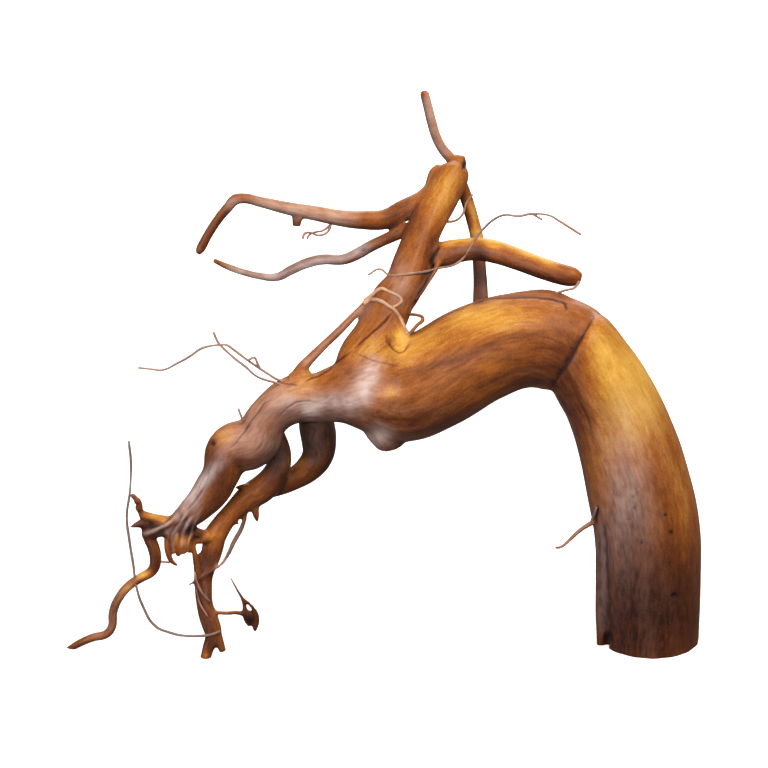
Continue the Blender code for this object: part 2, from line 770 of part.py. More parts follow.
def distance_to_route(flat, route):
    nearest = np.full(len(flat), np.inf)
    for start, end in zip(route, route[1:]):
        start = np.array(start)
        along = np.array(end) - start
        share = np.clip((flat - start) @ along / (along @ along), 0, 1)
        gap = np.linalg.norm(flat - start - share[:, None] * along, axis=1)
        nearest = np.minimum(nearest, gap)
    return nearest


def carve(mesh):
    """Sinks the folds and cracks into the side that faces the viewer."""
    count = len(mesh.vertices)
    points = np.empty(count * 3)
    mesh.vertices.foreach_get("co", points)
    points = points.reshape(-1, 3)
    normals = np.empty(count * 3)
    mesh.vertices.foreach_get("normal", normals)
    normals = normals.reshape(-1, 3)
    to_viewer = np.array([0, -math.cos(VIEW_TILT), math.sin(VIEW_TILT)])
    facing = np.clip(normals @ to_viewer * CREASE_FACING, 0, 1)
    flat = as_seen(points)
    sunk = np.zeros(count)
    for route, half_width, depth in CREASES:
        nearness = distance_to_route(flat, route) / half_width
        sunk = np.maximum(sunk, depth * np.exp(-(nearness**2)))
    points -= normals * (sunk * facing * MM)[:, None]
    mesh.vertices.foreach_set("co", points.ravel())
    mesh.update()


def grow_body(collection):
    """The thick limbs grown together: one voxel skin, smoothed, creased and thinned out."""
    solids = {name: limb(name, route, LIMB_STEPS, LIMB_SIDES, collection) for name, route in LIMBS.items()}
    fold_over(solids["trunk"])
    body = joined(solids.values(), "body", collection)
    skin = body.modifiers.new("skin", "REMESH")
    skin.mode = "VOXEL"
    skin.voxel_size = VOXEL
    smooth = body.modifiers.new("smooth", "SMOOTH")
    smooth.factor = 0.5
    smooth.iterations = SMOOTH_ROUNDS
    body = as_mesh(body, collection)
    carve(body.data)
    thin = body.modifiers.new("thin_out", "DECIMATE")
    thin.use_collapse_triangulate = True
    thin.ratio = BODY_TRIANGLES / (2 * len(body.data.polygons))
    return as_mesh(body, collection)


def add_rootlets(body, collection):
    """One union with the collection of fine strands, splinters and hairs."""
    fine = new_collection("rootlets")
    for name, route in ROOTLETS.items():
        is_hair = max(radius for *_, radius in route) < HAIR_RADIUS
        limb(name, route, ROOTLET_STEPS, HAIR_SIDES if is_hair else STRAND_SIDES, fine)
    union = body.modifiers.new("rootlets", "BOOLEAN")
    union.operation = "UNION"
    union.operand_type = "COLLECTION"
    union.collection = fine
    union.solver = "EXACT"
    body = as_mesh(body, collection)
    for solid in list(fine.objects):
        bpy.data.objects.remove(solid, do_unlink=True)
    bpy.data.collections.remove(fine)
    return body


def cut_resting_spots(body, collection):
    """Cuts the trunk's foot, the toes and the left root's tip flat, at the height of the ground."""
    cutters = new_collection("cutters")
    work = bmesh.new()
    bmesh.ops.create_cube(work, size=1)
    mesh = bpy.data.meshes.new("ground_cutter")
    work.to_mesh(mesh)
    work.free()
    ground = bpy.data.objects.new("ground_cutter", mesh)
    ground.scale = (GROUND_WIDTH, GROUND_WIDTH, GROUND_DEPTH)
    ground.location = (0, 0, -GROUND_DEPTH / 2)
    ground.hide_render = True
    ground.display_type = "WIRE"
    cutters.objects.link(ground)
    bpy.context.view_layer.update()
    cut = body.modifiers.new("foot", "BOOLEAN")
    cut.operation = "DIFFERENCE"
    cut.object = ground
    cut.solver = "EXACT"
    return as_mesh(body, collection)


def wood_material():
    material = bpy.data.materials.new("root_wood")
    material.use_nodes = True
    shader = material.node_tree.nodes["Principled BSDF"]
    shader.inputs["Base Color"].default_value = (0.24, 0.085, 0.035, 1)
    shader.inputs["Roughness"].default_value = 0.5
    shader.inputs["Metallic"].default_value = 0.0
    return material


def main():
    clear_scene()
    collection = new_collection("aquarium_root_wood")
    body = grow_body(collection)
    body = add_rootlets(body, collection)
    body = cut_resting_spots(body, collection)
    body.name = NAME
    body.data.name = NAME
    body.data.materials.clear()
    body.data.materials.append(wood_material())
    body.data.shade_smooth()


main()
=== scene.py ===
"""Aquarium root wood, dressed: one grown piece of bare wood, with its grain, cracks, splinters and hairs.

Routes and marks are written as they look from the viewing side, in millimetres: right and up in the viewing
plane, and back along the ground. Sight turns them into real places.
"""

import logging
import math
from contextlib import contextmanager
from dataclasses import dataclass, field
from enum import Enum
from typing import Iterator, Sequence

import bpy
import numpy as np
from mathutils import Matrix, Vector


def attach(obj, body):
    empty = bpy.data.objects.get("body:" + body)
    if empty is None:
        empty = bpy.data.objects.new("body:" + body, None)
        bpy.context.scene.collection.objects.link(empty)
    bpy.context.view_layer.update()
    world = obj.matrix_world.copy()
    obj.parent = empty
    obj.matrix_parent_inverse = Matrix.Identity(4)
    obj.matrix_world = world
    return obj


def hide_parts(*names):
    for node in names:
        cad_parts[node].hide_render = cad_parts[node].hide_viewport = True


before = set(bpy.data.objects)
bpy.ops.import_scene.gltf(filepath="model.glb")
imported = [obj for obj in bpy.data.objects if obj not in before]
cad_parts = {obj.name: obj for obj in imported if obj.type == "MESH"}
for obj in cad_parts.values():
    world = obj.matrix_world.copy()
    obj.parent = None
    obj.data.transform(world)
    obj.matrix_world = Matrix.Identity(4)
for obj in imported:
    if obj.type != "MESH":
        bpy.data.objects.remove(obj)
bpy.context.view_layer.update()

LOG = logging.getLogger("root_wood")
MM = 0.001
WELD = 0.00001
NODE = "root_wood"
BODY = "root"
GRAIN = "grain"
TONE = "tone"
SEED = 41
SWAY_SEED = SEED + 3
KNOB_SEED = SEED + 4
MIDDLE = 0.5
GRAIN_SPREAD = 0.17
# Scale of the stored pale grey, which holds ashen tone and painted sheen.
ASH_SHARE = 0.5
TINY = 1e-9
BATCH = 20000

Point = tuple[float, float, float, float]
Flat = tuple[float, float]
Colour = tuple[float, float, float, float]


def deselect_all() -> None:
    """Leaves nothing selected and no active object in edit mode."""
    if bpy.context.object and bpy.context.object.mode != "OBJECT":
        bpy.ops.object.mode_set(mode="OBJECT")
    bpy.ops.object.select_all(action="DESELECT")


def select_only(objects: Sequence[bpy.types.Object]) -> None:
    """Selects these objects and makes the first one active.

    Args:
        objects: What is to be selected.
    """
    deselect_all()
    for obj in objects:
        obj.select_set(True)
    bpy.context.view_layer.objects.active = objects[0]


@contextmanager
def editing(solid: bpy.types.Object, action: str = "SELECT") -> Iterator[None]:
    """Puts a mesh in edit mode for the steps inside, with all or nothing selected.

    Args:
        solid: The mesh object.
        action: "SELECT" for all, "DESELECT" for nothing.

    Returns:
        A context for a with statement.
    """
    select_only([solid])
    bpy.ops.object.mode_set(mode="EDIT")
    bpy.ops.mesh.select_all(action=action)
    yield
    bpy.ops.object.mode_set(mode="OBJECT")


def weld(solid: bpy.types.Object) -> None:
    """Merges doubled points and turns all faces outwards.

    Args:
        solid: The mesh object.
    """
    with editing(solid):
        bpy.ops.mesh.remove_doubles(threshold=WELD)
        bpy.ops.mesh.normals_make_consistent(inside=False)


def cut(solid: bpy.types.Object, point: Vector, normal: Vector) -> None:
    """Cuts away what lies beyond a plane and closes the cut.

    Args:
        solid: The mesh object.
        point: A point of the plane.
        normal: The plane's normal, towards what goes.
    """
    with editing(solid):
        bpy.ops.mesh.bisect(plane_co=point, plane_no=normal, use_fill=True, clear_outer=True)


def read(
    items: bpy.types.bpy_prop_collection, name: str, width: int = 1, kind: type = np.int32
) -> np.ndarray:
    """Reads a property of all items at once.

    Args:
        items: Vertices, edges, faces or the like.
        name: The property.
        width: How many numbers it holds.
        kind: The numbers' type.

    Returns:
        A number for each item, or a row where the property holds more than one.
    """
    values = np.empty(len(items) * width, kind)
    items.foreach_get(name, values)
    return values.reshape(-1, width) if width > 1 else values


@dataclass(frozen=True)
class Sight:
    """The viewing side that the routes are written for."""

    tilt: float = math.radians(20.0)
    distance: float = 700.0
    aim_height: float = 82.3
    shift_right: float = -0.1
    shift_back: float = -30.2

    def place(self, right: float, up: float, back: float) -> tuple[Vector, float]:
        """Finds the real place of a point as seen.

        Args:
            right: Millimetres to the right in the viewing plane.
            up: Millimetres up in the viewing plane.
            back: Millimetres away from the viewer, along the ground.

        Returns:
            The place in metres, and how much longer a millimetre there is than it looks.
        """
        nearness = (1 + back / (self.distance * math.cos(self.tilt))) / (
            1 + up * math.tan(self.tilt) / self.distance
        )
        height = (up * nearness - back * math.sin(self.tilt)) / math.cos(self.tilt)
        place = Vector(
            (
                right * nearness + self.shift_right,
                back + self.shift_back,
                height + self.aim_height,
            )
        )
        return place * MM, nearness

    def flatten(self, points: np.ndarray) -> np.ndarray:
        """Gives how far right and up points look.

        Args:
            points: Places in millimetres, one a row.

        Returns:
            Right and up in the viewing plane, in millimetres.
        """
        right = points[:, 0] - self.shift_right
        back = points[:, 1] - self.shift_back
        height = points[:, 2] - self.aim_height
        up = height * math.cos(self.tilt) + back * math.sin(self.tilt)
        away = self.distance + back * math.cos(self.tilt) - height * math.sin(self.tilt)
        return np.stack([right, up], axis=1) * (self.distance / away)[:, None]

    def to_viewer(self) -> np.ndarray:
        """The direction from the wood to the viewer."""
        return np.array([0, -math.cos(self.tilt), math.sin(self.tilt)])


@dataclass(frozen=True)
class Route:
    """A limb, strand or hair: its middle line and its radius along it."""

    name: str
    points: tuple[Point, ...]
    tone: tuple[float, float, float] = (0.34, 0.15, 0.45)

    def grow(self, sight: Sight, steps: int, sides: int) -> bpy.types.Object:
        """Makes a closed round mesh along the route.

        Args:
            sight: The viewing side.
            steps: Rings between two points of the route.
            sides: Bevel resolution, which sets the number of sides.

        Returns:
            The mesh object.
        """
        deselect_all()
        bpy.ops.curve.primitive_bezier_curve_add(location=(0, 0, 0))
        limb = bpy.context.object
        limb.name = self.name
        curve = limb.data
        curve.resolution_u = steps
        curve.bevel_depth = MM
        curve.bevel_resolution = sides
        curve.use_fill_caps = True
        spline = curve.splines[0]
        spline.radius_interpolation = "CARDINAL"
        spline.bezier_points.add(len(self.points) - 2)
        for knot, (right, up, back, radius) in zip(spline.bezier_points, self.points):
            place, nearness = sight.place(right, up, back)
            knot.co = place
            knot.radius = radius * nearness
            knot.handle_left_type = "AUTO"
            knot.handle_right_type = "AUTO"
        bpy.ops.object.convert(target="MESH")
        weld(bpy.context.object)
        return bpy.context.object

    def line(self, sight: Sight, spacing: float = 0.8) -> np.ndarray:
        """Samples the middle line.

        Args:
            sight: The viewing side.
            spacing: Millimetres between two samples.

        Returns:
            A row of place and radius for each sample, in millimetres.
        """
        knots = []
        for right, up, back, radius in self.points:
            place, nearness = sight.place(right, up, back)
            knots.append([*(place / MM), radius * nearness])
        knots = np.array(knots)
        before = np.vstack([2 * knots[0] - knots[1], knots[:-1]])
        after = np.vstack([knots[1:], 2 * knots[-1] - knots[-2]])
        slopes = (after - before) / 2
        rows = []
        for index in range(len(knots) - 1):
            start, end = knots[index], knots[index + 1]
            count = max(2, int(np.linalg.norm(end[:3] - start[:3]) / spacing))
            share = np.linspace(0, 1, count, endpoint=False)[:, None]
            square, cube = share**2, share**3
            rows.append(
                (2 * cube - 3 * square + 1) * start
                + (cube - 2 * square + share) * slopes[index]
                + (3 * square - 2 * cube) * end
                + (cube - square) * slopes[index + 1]
            )
        rows.append(knots[-1:])
        return np.vstack(rows)


class Kind(Enum):
    """What a mark or patch does to the wood's colour."""

    GOLD = 0
    DARK = 1
    # Pale grey: ashen wood, and painted sheen where it is strong.
    ASH = 2


class Side(Enum):
    """Which side of its line a mark lies on, going along the line."""

    BOTH = 0
    LEFT = 1
    RIGHT = -1


@dataclass(frozen=True)
class Mark:
    """A crease, crack, step or streak on the viewing side, along a line as seen; some paint shade beside a
    line, and some paint sheen.
    """

    kind: Kind
    line: tuple[Flat, ...]
    half_width: float
    amount: float
    taper: float = 0.3
    depth: float = 0.0
    side: Side = Side.BOTH

    def share(self, flat: np.ndarray) -> np.ndarray:
        """How strongly the mark acts at points as seen.

        Args:
            flat: Right and up of each point.

        Returns:
            A share from 0 to 1 for each point, less towards the line's ends.
        """
        distance, along, left = beside_line(flat, self.line)
        if self.side is Side.BOTH:
            share = np.exp(-((distance / self.half_width) ** 2))
        else:
            share = np.exp(-distance / self.half_width) * (left * self.side.value > 0)
        ends = np.minimum(along, 1 - along) / self.taper
        return share * np.clip(ends, 0, 1)


@dataclass(frozen=True)
class Spot:
    """A round or oval place on the viewing side: a patch of colour, a pit or a swelling; some patches paint
    light, shade or sheen.
    """

    kind: Kind
    right: float
    up: float
    wide: float
    high: float
    amount: float
    raised: float = 0.0


def marks(kind: Kind, rows: Sequence[tuple]) -> list[Mark]:
    """Marks of one kind, each row with a mark's other values in order."""
    return [Mark(kind, *row) for row in rows]


def spots(kind: Kind, rows: Sequence[tuple]) -> list[Spot]:
    """Spots of one kind, each row with a spot's other values in order."""
    return [Spot(kind, *row) for row in rows]


LIMBS = (
    Route("trunk", (
        (77.4, -90, 1.5, 14.6), (77.4, -74.9, 1.5, 14.9), (77.5, -58.8, 1, 15.4), (77.1, -42.7, 0.5, 15.6),
        (74.5, -29.4, 0, 15.4), (71.3, -17.4, -0.5, 14.7), (66.5, -5.3, -0.5, 13.8),
        (60.9, 4.3, -1.1, 13.2), (55.6, 14, -1.5, 11.2), (53, 18.5, -1.5, 7.4),
    )),
    Route("arch", (
        (61.3, 1.3, 1.6, 9), (57, 8.8, 2.7, 12.8), (51.2, 11.7, 3, 14.2), (41.8, 12.9, 3, 14.2),
        (28.3, 9.1, 1.5, 14.9), (14, 1.1, 0, 15.2), (4.9, -1.8, -1, 15.5), (-2.4, -2.4, -2, 12.8),
        (-11.2, -2.6, -3, 9.6), (-19.2, -4, -4, 7.4), (-25.7, -4.4, -5, 7.3), (-33.4, -9.6, -6, 6.4),
        (-38.2, -17.3, -8, 7.5), (-44.4, -18.9, -9, 7.2), (-47.4, -26.2, -10, 5.7), (-50.1, -31, -10, 5.6),
        (-53.2, -34.8, -11, 4.9), (-56.7, -38, -11, 4.2), (-59.8, -40.2, -12, 3.2),
    )),
    Route("back_ridge", (
        (26.5, 17.6, 7, 3.4), (33.9, 21.3, 9, 4.2), (41.5, 23, 10, 4.4), (49.1, 22.9, 10, 4.6),
        (54.6, 20.2, 9, 4.3), (57.6, 17.8, 8.5, 3.4),
    )),
    Route("chin", (
        (0.8, -9.5, -3, 8.6), (1.4, -14.8, -3, 6.2), (2.2, -18, -2.6, 4.2),
    )),
    Route("main_branch", (
        (20.4, 63.6, 48.5, 3.6), (20.3, 61.7, 47, 5), (17.2, 55.1, 41, 5.2), (11.9, 45, 32, 5.25),
        (8.6, 36, 24, 5.7), (5.6, 28.1, 17, 6), (2.7, 24.3, 13.4, 6.5), (1, 20.2, 10, 6.6),
        (-2.6, 13.5, 5, 6.8), (-5.8, 7.3, 2, 7.8), (-6.5, 1.8, 0, 8.2),
    )),
    Route("top_knot", (
        (19.6, 64.4, 48.5, 2), (21.7, 64.6, 48.5, 2.6), (24, 64.8, 48, 2),
    )),
    Route("top_twig", (
        (21, 64, 48.5, 1.8), (19.2, 66.5, 50, 1.65), (17.5, 68.5, 52, 1.55), (15.6, 71.9, 56, 1.5),
        (14.2, 76.3, 62, 1.5), (13.1, 80.7, 69, 1.45), (12, 85, 76, 1.4),
    )),
    Route("back_limb", (
        (21.5, 60.8, 49, 2.2), (23.9, 55.3, 50.5, 1.95), (26, 48.3, 47, 1.95), (27.5, 42, 42, 2),
        (28.1, 34.8, 35, 2), (28.4, 28.1, 25, 2.2), (28.4, 22.2, 15, 2.5), (28.1, 17.3, 9, 2.8),
    )),
    Route("right_limb", (
        (12.5, 36.8, 26, 3.4), (19, 38.2, 26, 3.9), (22.9, 39.1, 25, 3.5), (28.3, 39.4, 23, 3.5),
        (33.6, 38.4, 21, 3.5), (39.5, 36.4, 19, 3.35), (46.5, 33.8, 16, 3.25), (52.3, 32, 14, 3.2),
        (55.8, 31.2, 13.2, 2.9), (57.9, 30.6, 12.8, 1.7),
    )),
    Route("upper_left_branch", (
        (18, 62.2, 47, 2.6), (16.2, 59, 45, 2.9), (12.2, 54, 41, 3.2), (6.1, 50.8, 38, 3.3),
        (0.6, 48.2, 36, 3.05), (-5.6, 47.9, 34, 2.85), (-12.6, 48.5, 31, 2.5), (-19.3, 49.8, 29, 2.3),
        (-28.1, 51.4, 26, 2), (-35.7, 53.2, 24, 1.65), (-40.9, 54.3, 22, 1.6), (-43.5, 53.8, 21, 1.65),
        (-45.2, 51.9, 20.6, 1.55), (-47.6, 49.1, 20, 1.45), (-51.1, 43.9, 18.5, 1.4),
        (-53.5, 39.4, 17.2, 1.4), (-54.3, 38, 16.8, 0.8),
    )),
    Route("branch_knuckle", (
        (13, 56.7, 43.5, 1.2), (13.8, 59.4, 45, 1.35), (14.8, 62, 46.5, 1.35), (16.6, 63.6, 47.5, 1.2),
    )),
    Route("loose_strip", (
        (16.4, 36, 23, 0.9), (14.9, 33, 20.5, 0.85), (12.8, 29.6, 17.8, 0.75), (10.9, 26.6, 14.2, 0.7),
        (9.4, 24.6, 11.6, 0.6),
    )),
    Route("branch_stub", (
        (-25, 50.5, 27, 1.7), (-25.2, 48.4, 27, 1.55), (-25.4, 46.2, 27, 1.3),
    )),
    Route("lower_left_branch", (
        (10.5, 46.6, 33, 2.1), (5.8, 44.6, 34, 1.95), (0.6, 42.3, 36, 1.75), (-3.8, 40.2, 37.5, 1.75),
        (-7.9, 37.9, 39, 1.75), (-11.7, 36.4, 40, 1.6), (-17.8, 36.4, 41.5, 1.6), (-22.5, 35.3, 42.5, 1.55),
        (-27.2, 33.2, 43.5, 1.45), (-31.1, 31.3, 44, 1.3), (-36.3, 31.6, 44, 1.1),
        (-40.9, 32.7, 43.5, 1.05), (-45.3, 34.2, 43, 1), (-49.6, 36.2, 42, 0.75),
    )),
    Route("strut", (
        (-26, 1.4, -5, 1.7), (-24, 4.4, -4.2, 1.75), (-21.5, 7.2, -2.5, 1.5), (-17.3, 11.4, 0.5, 1.3),
        (-13.3, 15.2, 3.4, 1.25), (-8.4, 20.2, 8, 1.1), (-5.2, 23.6, 11.3, 0.95),
    )),
    Route("collar", (
        (-27.4, 1.2, -5.5, 1.8), (-24.4, 2, -5.2, 2.4), (-21.2, 2, -4.4, 1.9),
    )),
    Route("toe_knuckle", (
        (2, 19.3, 5.2, 1.6), (3.1, 17.3, 4.6, 2.4), (4.1, 15.2, 3.9, 3), (4.8, 13.2, 0.6, 3.1),
        (5.4, 11.4, -2.7, 2.7), (5.7, 10.1, -4.7, 2), (5.8, 9.4, -5.6, 1.1),
    )),
    Route("loop_foot", (
        (5.3, 17, 3.2, 0.9), (6.1, 15.2, 1.4, 1), (7, 13.7, -0.8, 0.9),
    )),
    Route("under_limb", (
        (-19.9, -6.1, 0, 5), (-19.5, -12, 5, 5.4), (-18.9, -16.1, 7, 5.3), (-19.2, -21, 7, 4.7),
        (-22, -24.8, 5.5, 4.1), (-25.7, -27.4, 3.5, 3.5), (-30.4, -29.5, 1, 3.2), (-35.7, -31, -1, 3),
    )),
    Route("forward_limb", (
        (-32.4, -13.5, -2, 3.2), (-30.2, -21.8, -1, 3.5), (-31.4, -25.7, -2, 3.7), (-34.9, -30.2, -3, 4.2),
        (-39.4, -33.1, -4, 3.9), (-43.6, -36.9, -6, 3.1), (-46.6, -40.3, -8, 3.1), (-49.3, -44.4, -9, 3.5),
    )),
    Route("front_leg", (
        (-48.4, -42, -9, 2.6), (-49.4, -45.6, -9, 3.3), (-50.5, -50.6, -9.5, 2.95),
        (-51.9, -55.6, -10, 2.3), (-52, -60.2, -10.5, 2), (-51.7, -64.6, -11, 2), (-50.4, -69, -11.5, 2.35),
        (-49.7, -73.4, -12, 2.45), (-51.2, -77.2, -12.5, 1.75), (-52.2, -81.2, -12.5, 1.6),
    )),
    Route("leg_web", (
        (-53.2, -49.4, -10, 0.9), (-53.5, -53, -10.6, 1.4), (-53.2, -57, -11, 1.3),
    )),
    Route("bridge_lump", (
        (-57.4, -42, -11.4, 0.5), (-55.8, -42.6, -11.4, 1.1), (-54, -43.4, -11.4, 1.3),
        (-52, -43.8, -10.6, 1.1),
    )),
    Route("knot_lobe", (
        (-50.8, -44.2, -10.6, 2.3), (-52.6, -45.2, -11, 1.6), (-54, -46, -11, 1),
        (-54.8, -46.6, -10.9, 0.4),
    )),
    Route("split_end", (
        (-57.9, -39.2, -11.5, 3.4), (-61.1, -40.9, -12, 2.8), (-64, -42.1, -12, 2.4),
        (-66.7, -42.8, -12, 2.3), (-69.2, -43.3, -12, 2.3), (-70.6, -43.3, -12, 1.6),
    )),
    Route("end_web", (
        (-69.6, -40.1, -12, 0.9), (-67, -40.5, -12, 1.2), (-64.3, -41.2, -12, 1.4),
    )),
    Route("left_root", (
        (-68.1, -42.4, -12, 1.4), (-68.6, -44.4, -12, 1.75), (-67.3, -47.5, -12.5, 1.85),
        (-66.6, -51.5, -13, 1.75), (-67.5, -54.5, -13, 1.6), (-70.8, -56.6, -13, 1.45),
        (-74.3, -58.9, -12.5, 1.4), (-77.3, -62.5, -12, 1.35), (-79, -66.6, -11, 1.35),
        (-79.4, -71.1, -10, 1.3), (-81, -73.1, -9.5, 1.3), (-84.8, -74.1, -8.5, 1.25),
        (-88.9, -75.8, -7.5, 1.15), (-92.3, -77.8, -6, 0.95),
    )),
    Route("bark_strip", (
        (63.4, -33, -2.5, 0.9), (63.5, -40, -3.5, 1.5), (63.7, -55, -4, 1.7), (63.6, -68, -4, 1.6),
        (63.3, -75.5, -4.2, 1), (62.7, -80, -4.2, 0.54),
    )),
    Route("torn_strand_first", (
        (-59.6, -37.4, -13.4, 0.5), (-62.3, -40.4, -14.8, 0.8), (-66.1, -42.4, -14.2, 0.9),
        (-69, -43.6, -13.9, 0.8), (-70.5, -44.3, -13.8, 0.35),
    )),
    Route("torn_strand_second", (
        (-56.7, -36.8, -14.9, 0.4), (-58.9, -39.6, -15.2, 0.7), (-60.9, -42.2, -14.3, 0.55),
        (-62, -45.2, -13.9, 0.6), (-61.7, -47.6, -13.8, 0.3),
    )),
    Route("torn_strand_third", (
        (-55.3, -38, -15.4, 0.4), (-57, -40.9, -15, 0.5), (-58.6, -43.6, -13.3, 0.75),
        (-58.9, -46.8, -13.4, 0.5), (-60.2, -49.2, -13.4, 0.3),
    )),
    Route("torn_strand_fourth", (
        (-53.5, -38, -15.4, 0.4), (-55.2, -40.6, -15, 0.6), (-55.9, -43.4, -12.4, 0.5),
        (-57.2, -46.3, -13.2, 0.7), (-57, -49.4, -13.1, 0.3),
    )),
    Route("torn_strand_fifth", (
        (-58.2, -36.3, -14.4, 0.5), (-61.1, -39.2, -13.6, 0.7), (-63.7, -41.8, -14.1, 0.65),
        (-63.2, -43.9, -14.2, 0.6), (-62.6, -45.6, -13.6, 0.5), (-62.6, -48, -13.6, 0.3),
    )),
    Route("horn", (
        (-63.2, -40.2, -12, 1.7), (-65.8, -39.4, -12, 1.35), (-68.2, -38.8, -12.2, 1.25),
        (-70, -38.4, -12.4, 1.45), (-71, -37.2, -12.6, 0.95), (-71.4, -36, -12.8, 1.25),
        (-71.2, -35, -12.9, 0.8), (-71.9, -34.2, -13, 1.15), (-72.6, -33.3, -13, 0.7),
        (-73.2, -32.7, -12.9, 0.85), (-74, -32.5, -12.8, 0.4),
    )),
    Route("left_spike", (
        (-68.7, -41.1, -12.2, 1.6), (-71.1, -40.9, -12.5, 1.25), (-72.7, -41.4, -12.8, 0.75),
        (-74, -41.9, -13, 0.4),
    )),
    Route("side_strand", (
        (-55.3, -43.2, -11.2, 0.95), (-55.6, -45.9, -11.2, 0.75), (-55.4, -48.2, -11.3, 0.75),
        (-55, -50.6, -11.5, 0.9), (-54.6, -53.6, -11.6, 0.95), (-54.4, -57.9, -11.7, 0.95),
        (-53.9, -63.5, -11.8, 0.95), (-52.9, -68.7, -12.3, 0.95), (-51.3, -73.5, -13.4, 0.8),
    )),
    Route("right_toe", (
        (-49.4, -71.5, -12, 1.7), (-48, -75.2, -12.4, 1.4), (-46.9, -78.2, -12.6, 1.05),
    )),
    Route("crossing_spike", (
        (-40.2, -36.5, -5.5, 0.7), (-40.6, -39.5, -6.5, 0.7), (-41.5, -42.2, -7.5, 0.75),
        (-43.6, -46, -9, 0.75), (-45.4, -49.8, -10.5, 0.62), (-47.2, -52.5, -11.6, 0.5),
        (-49.5, -54.3, -12.2, 0.42), (-53.2, -56.6, -12.4, 0.36), (-57, -58.8, -12.2, 0.36),
    )),
    Route("side_twig", (
        (-51.5, -66.6, -11.5, 0.6), (-46, -67, -11.8, 0.6), (-42.5, -66.9, -11.5, 0.65),
        (-40.5, -67.4, -11, 0.75),
    )),
    Route("chunk_spike", (
        (-44.7, -56.6, -11, 0.36), (-42.7, -60.2, -11.2, 0.43), (-41.2, -62.9, -11.2, 0.55),
        (-40.6, -65, -11.1, 0.62), (-40.3, -67.2, -11, 0.95), (-39.9, -69.3, -10.8, 0.8),
        (-39.2, -70.9, -10.8, 0.42),
    )),
    Route("chunk_arm", (
        (-41.2, -62.7, -11.3, 0.5), (-39.3, -64.2, -11.2, 0.5), (-38.1, -65.6, -10.9, 0.6),
        (-37.4, -67.4, -10.6, 1), (-37.4, -69.6, -10.4, 1.2), (-37.5, -71.4, -10.4, 0.8),
        (-37.5, -72.4, -10.4, 0.42),
    )),
    Route("chunk_heart", (
        (-40.3, -66.7, -11, 1), (-39, -67.7, -10.8, 1.35), (-37.6, -68.4, -10.6, 1.1),
    )),
    Route("heel_stub", (
        (-38, -33.5, -5, 1.7), (-37.5, -36.8, -5.5, 1.25), (-37.1, -38.8, -5.7, 0.9),
        (-36.8, -40.2, -5.8, 0.45),
    )),
    Route("upper_stub", (
        (-38, -30.8, -4.5, 1.8), (-41, -30.2, -5, 1.1), (-43.3, -30.3, -5.3, 0.45),
    )),
    Route("small_thorn", (
        (-44.2, -39.2, -7.8, 0.9), (-43.2, -40.3, -8, 0.6), (-42.3, -41.1, -8.2, 0.4),
    )),
    Route("trunk_thorn", (
        (65, -39, -3, 0.95), (60.6, -40.8, -3.6, 0.8), (57, -43.2, -4.2, 0.68), (53.8, -46.2, -5, 0.58),
        (51.8, -47.7, -5.6, 0.5), (50, -47.9, -6, 0.43),
    )),
    Route("splinter_first", (
        (-62.6, -42.4, -12.6, 1.3), (-63.1, -45.9, -12.9, 1.05), (-62.9, -49.4, -13, 0.95),
        (-61.9, -51.8, -12.9, 0.75), (-60.2, -53.1, -12.6, 0.42),
    )),
    Route("splinter_second", (
        (-61.4, -42.1, -12.9, 1.2), (-61.6, -45.9, -13.2, 0.95), (-61.1, -49.7, -13.2, 0.55),
    )),
    Route("splinter_third", (
        (-60.2, -42.1, -12.8, 1.2), (-59.9, -45.9, -13.1, 1), (-59.5, -50.1, -13, 0.55),
    )),
    Route("splinter_fourth", (
        (-59.1, -41.8, -12.4, 1.2), (-58.6, -45.6, -12.7, 0.95), (-58.1, -49.7, -12.6, 0.5),
    )),
    Route("splinter_fifth", (
        (-57.9, -41.5, -11.8, 1.2), (-57.3, -45.6, -12, 0.95), (-56.7, -49.3, -11.8, 0.55),
    )),
    Route("splinter_back", (
        (-61.1, -42.7, -10.6, 1.6), (-60.5, -46.8, -10.8, 1.3), (-59.9, -50.3, -10.8, 0.7),
    )),
)

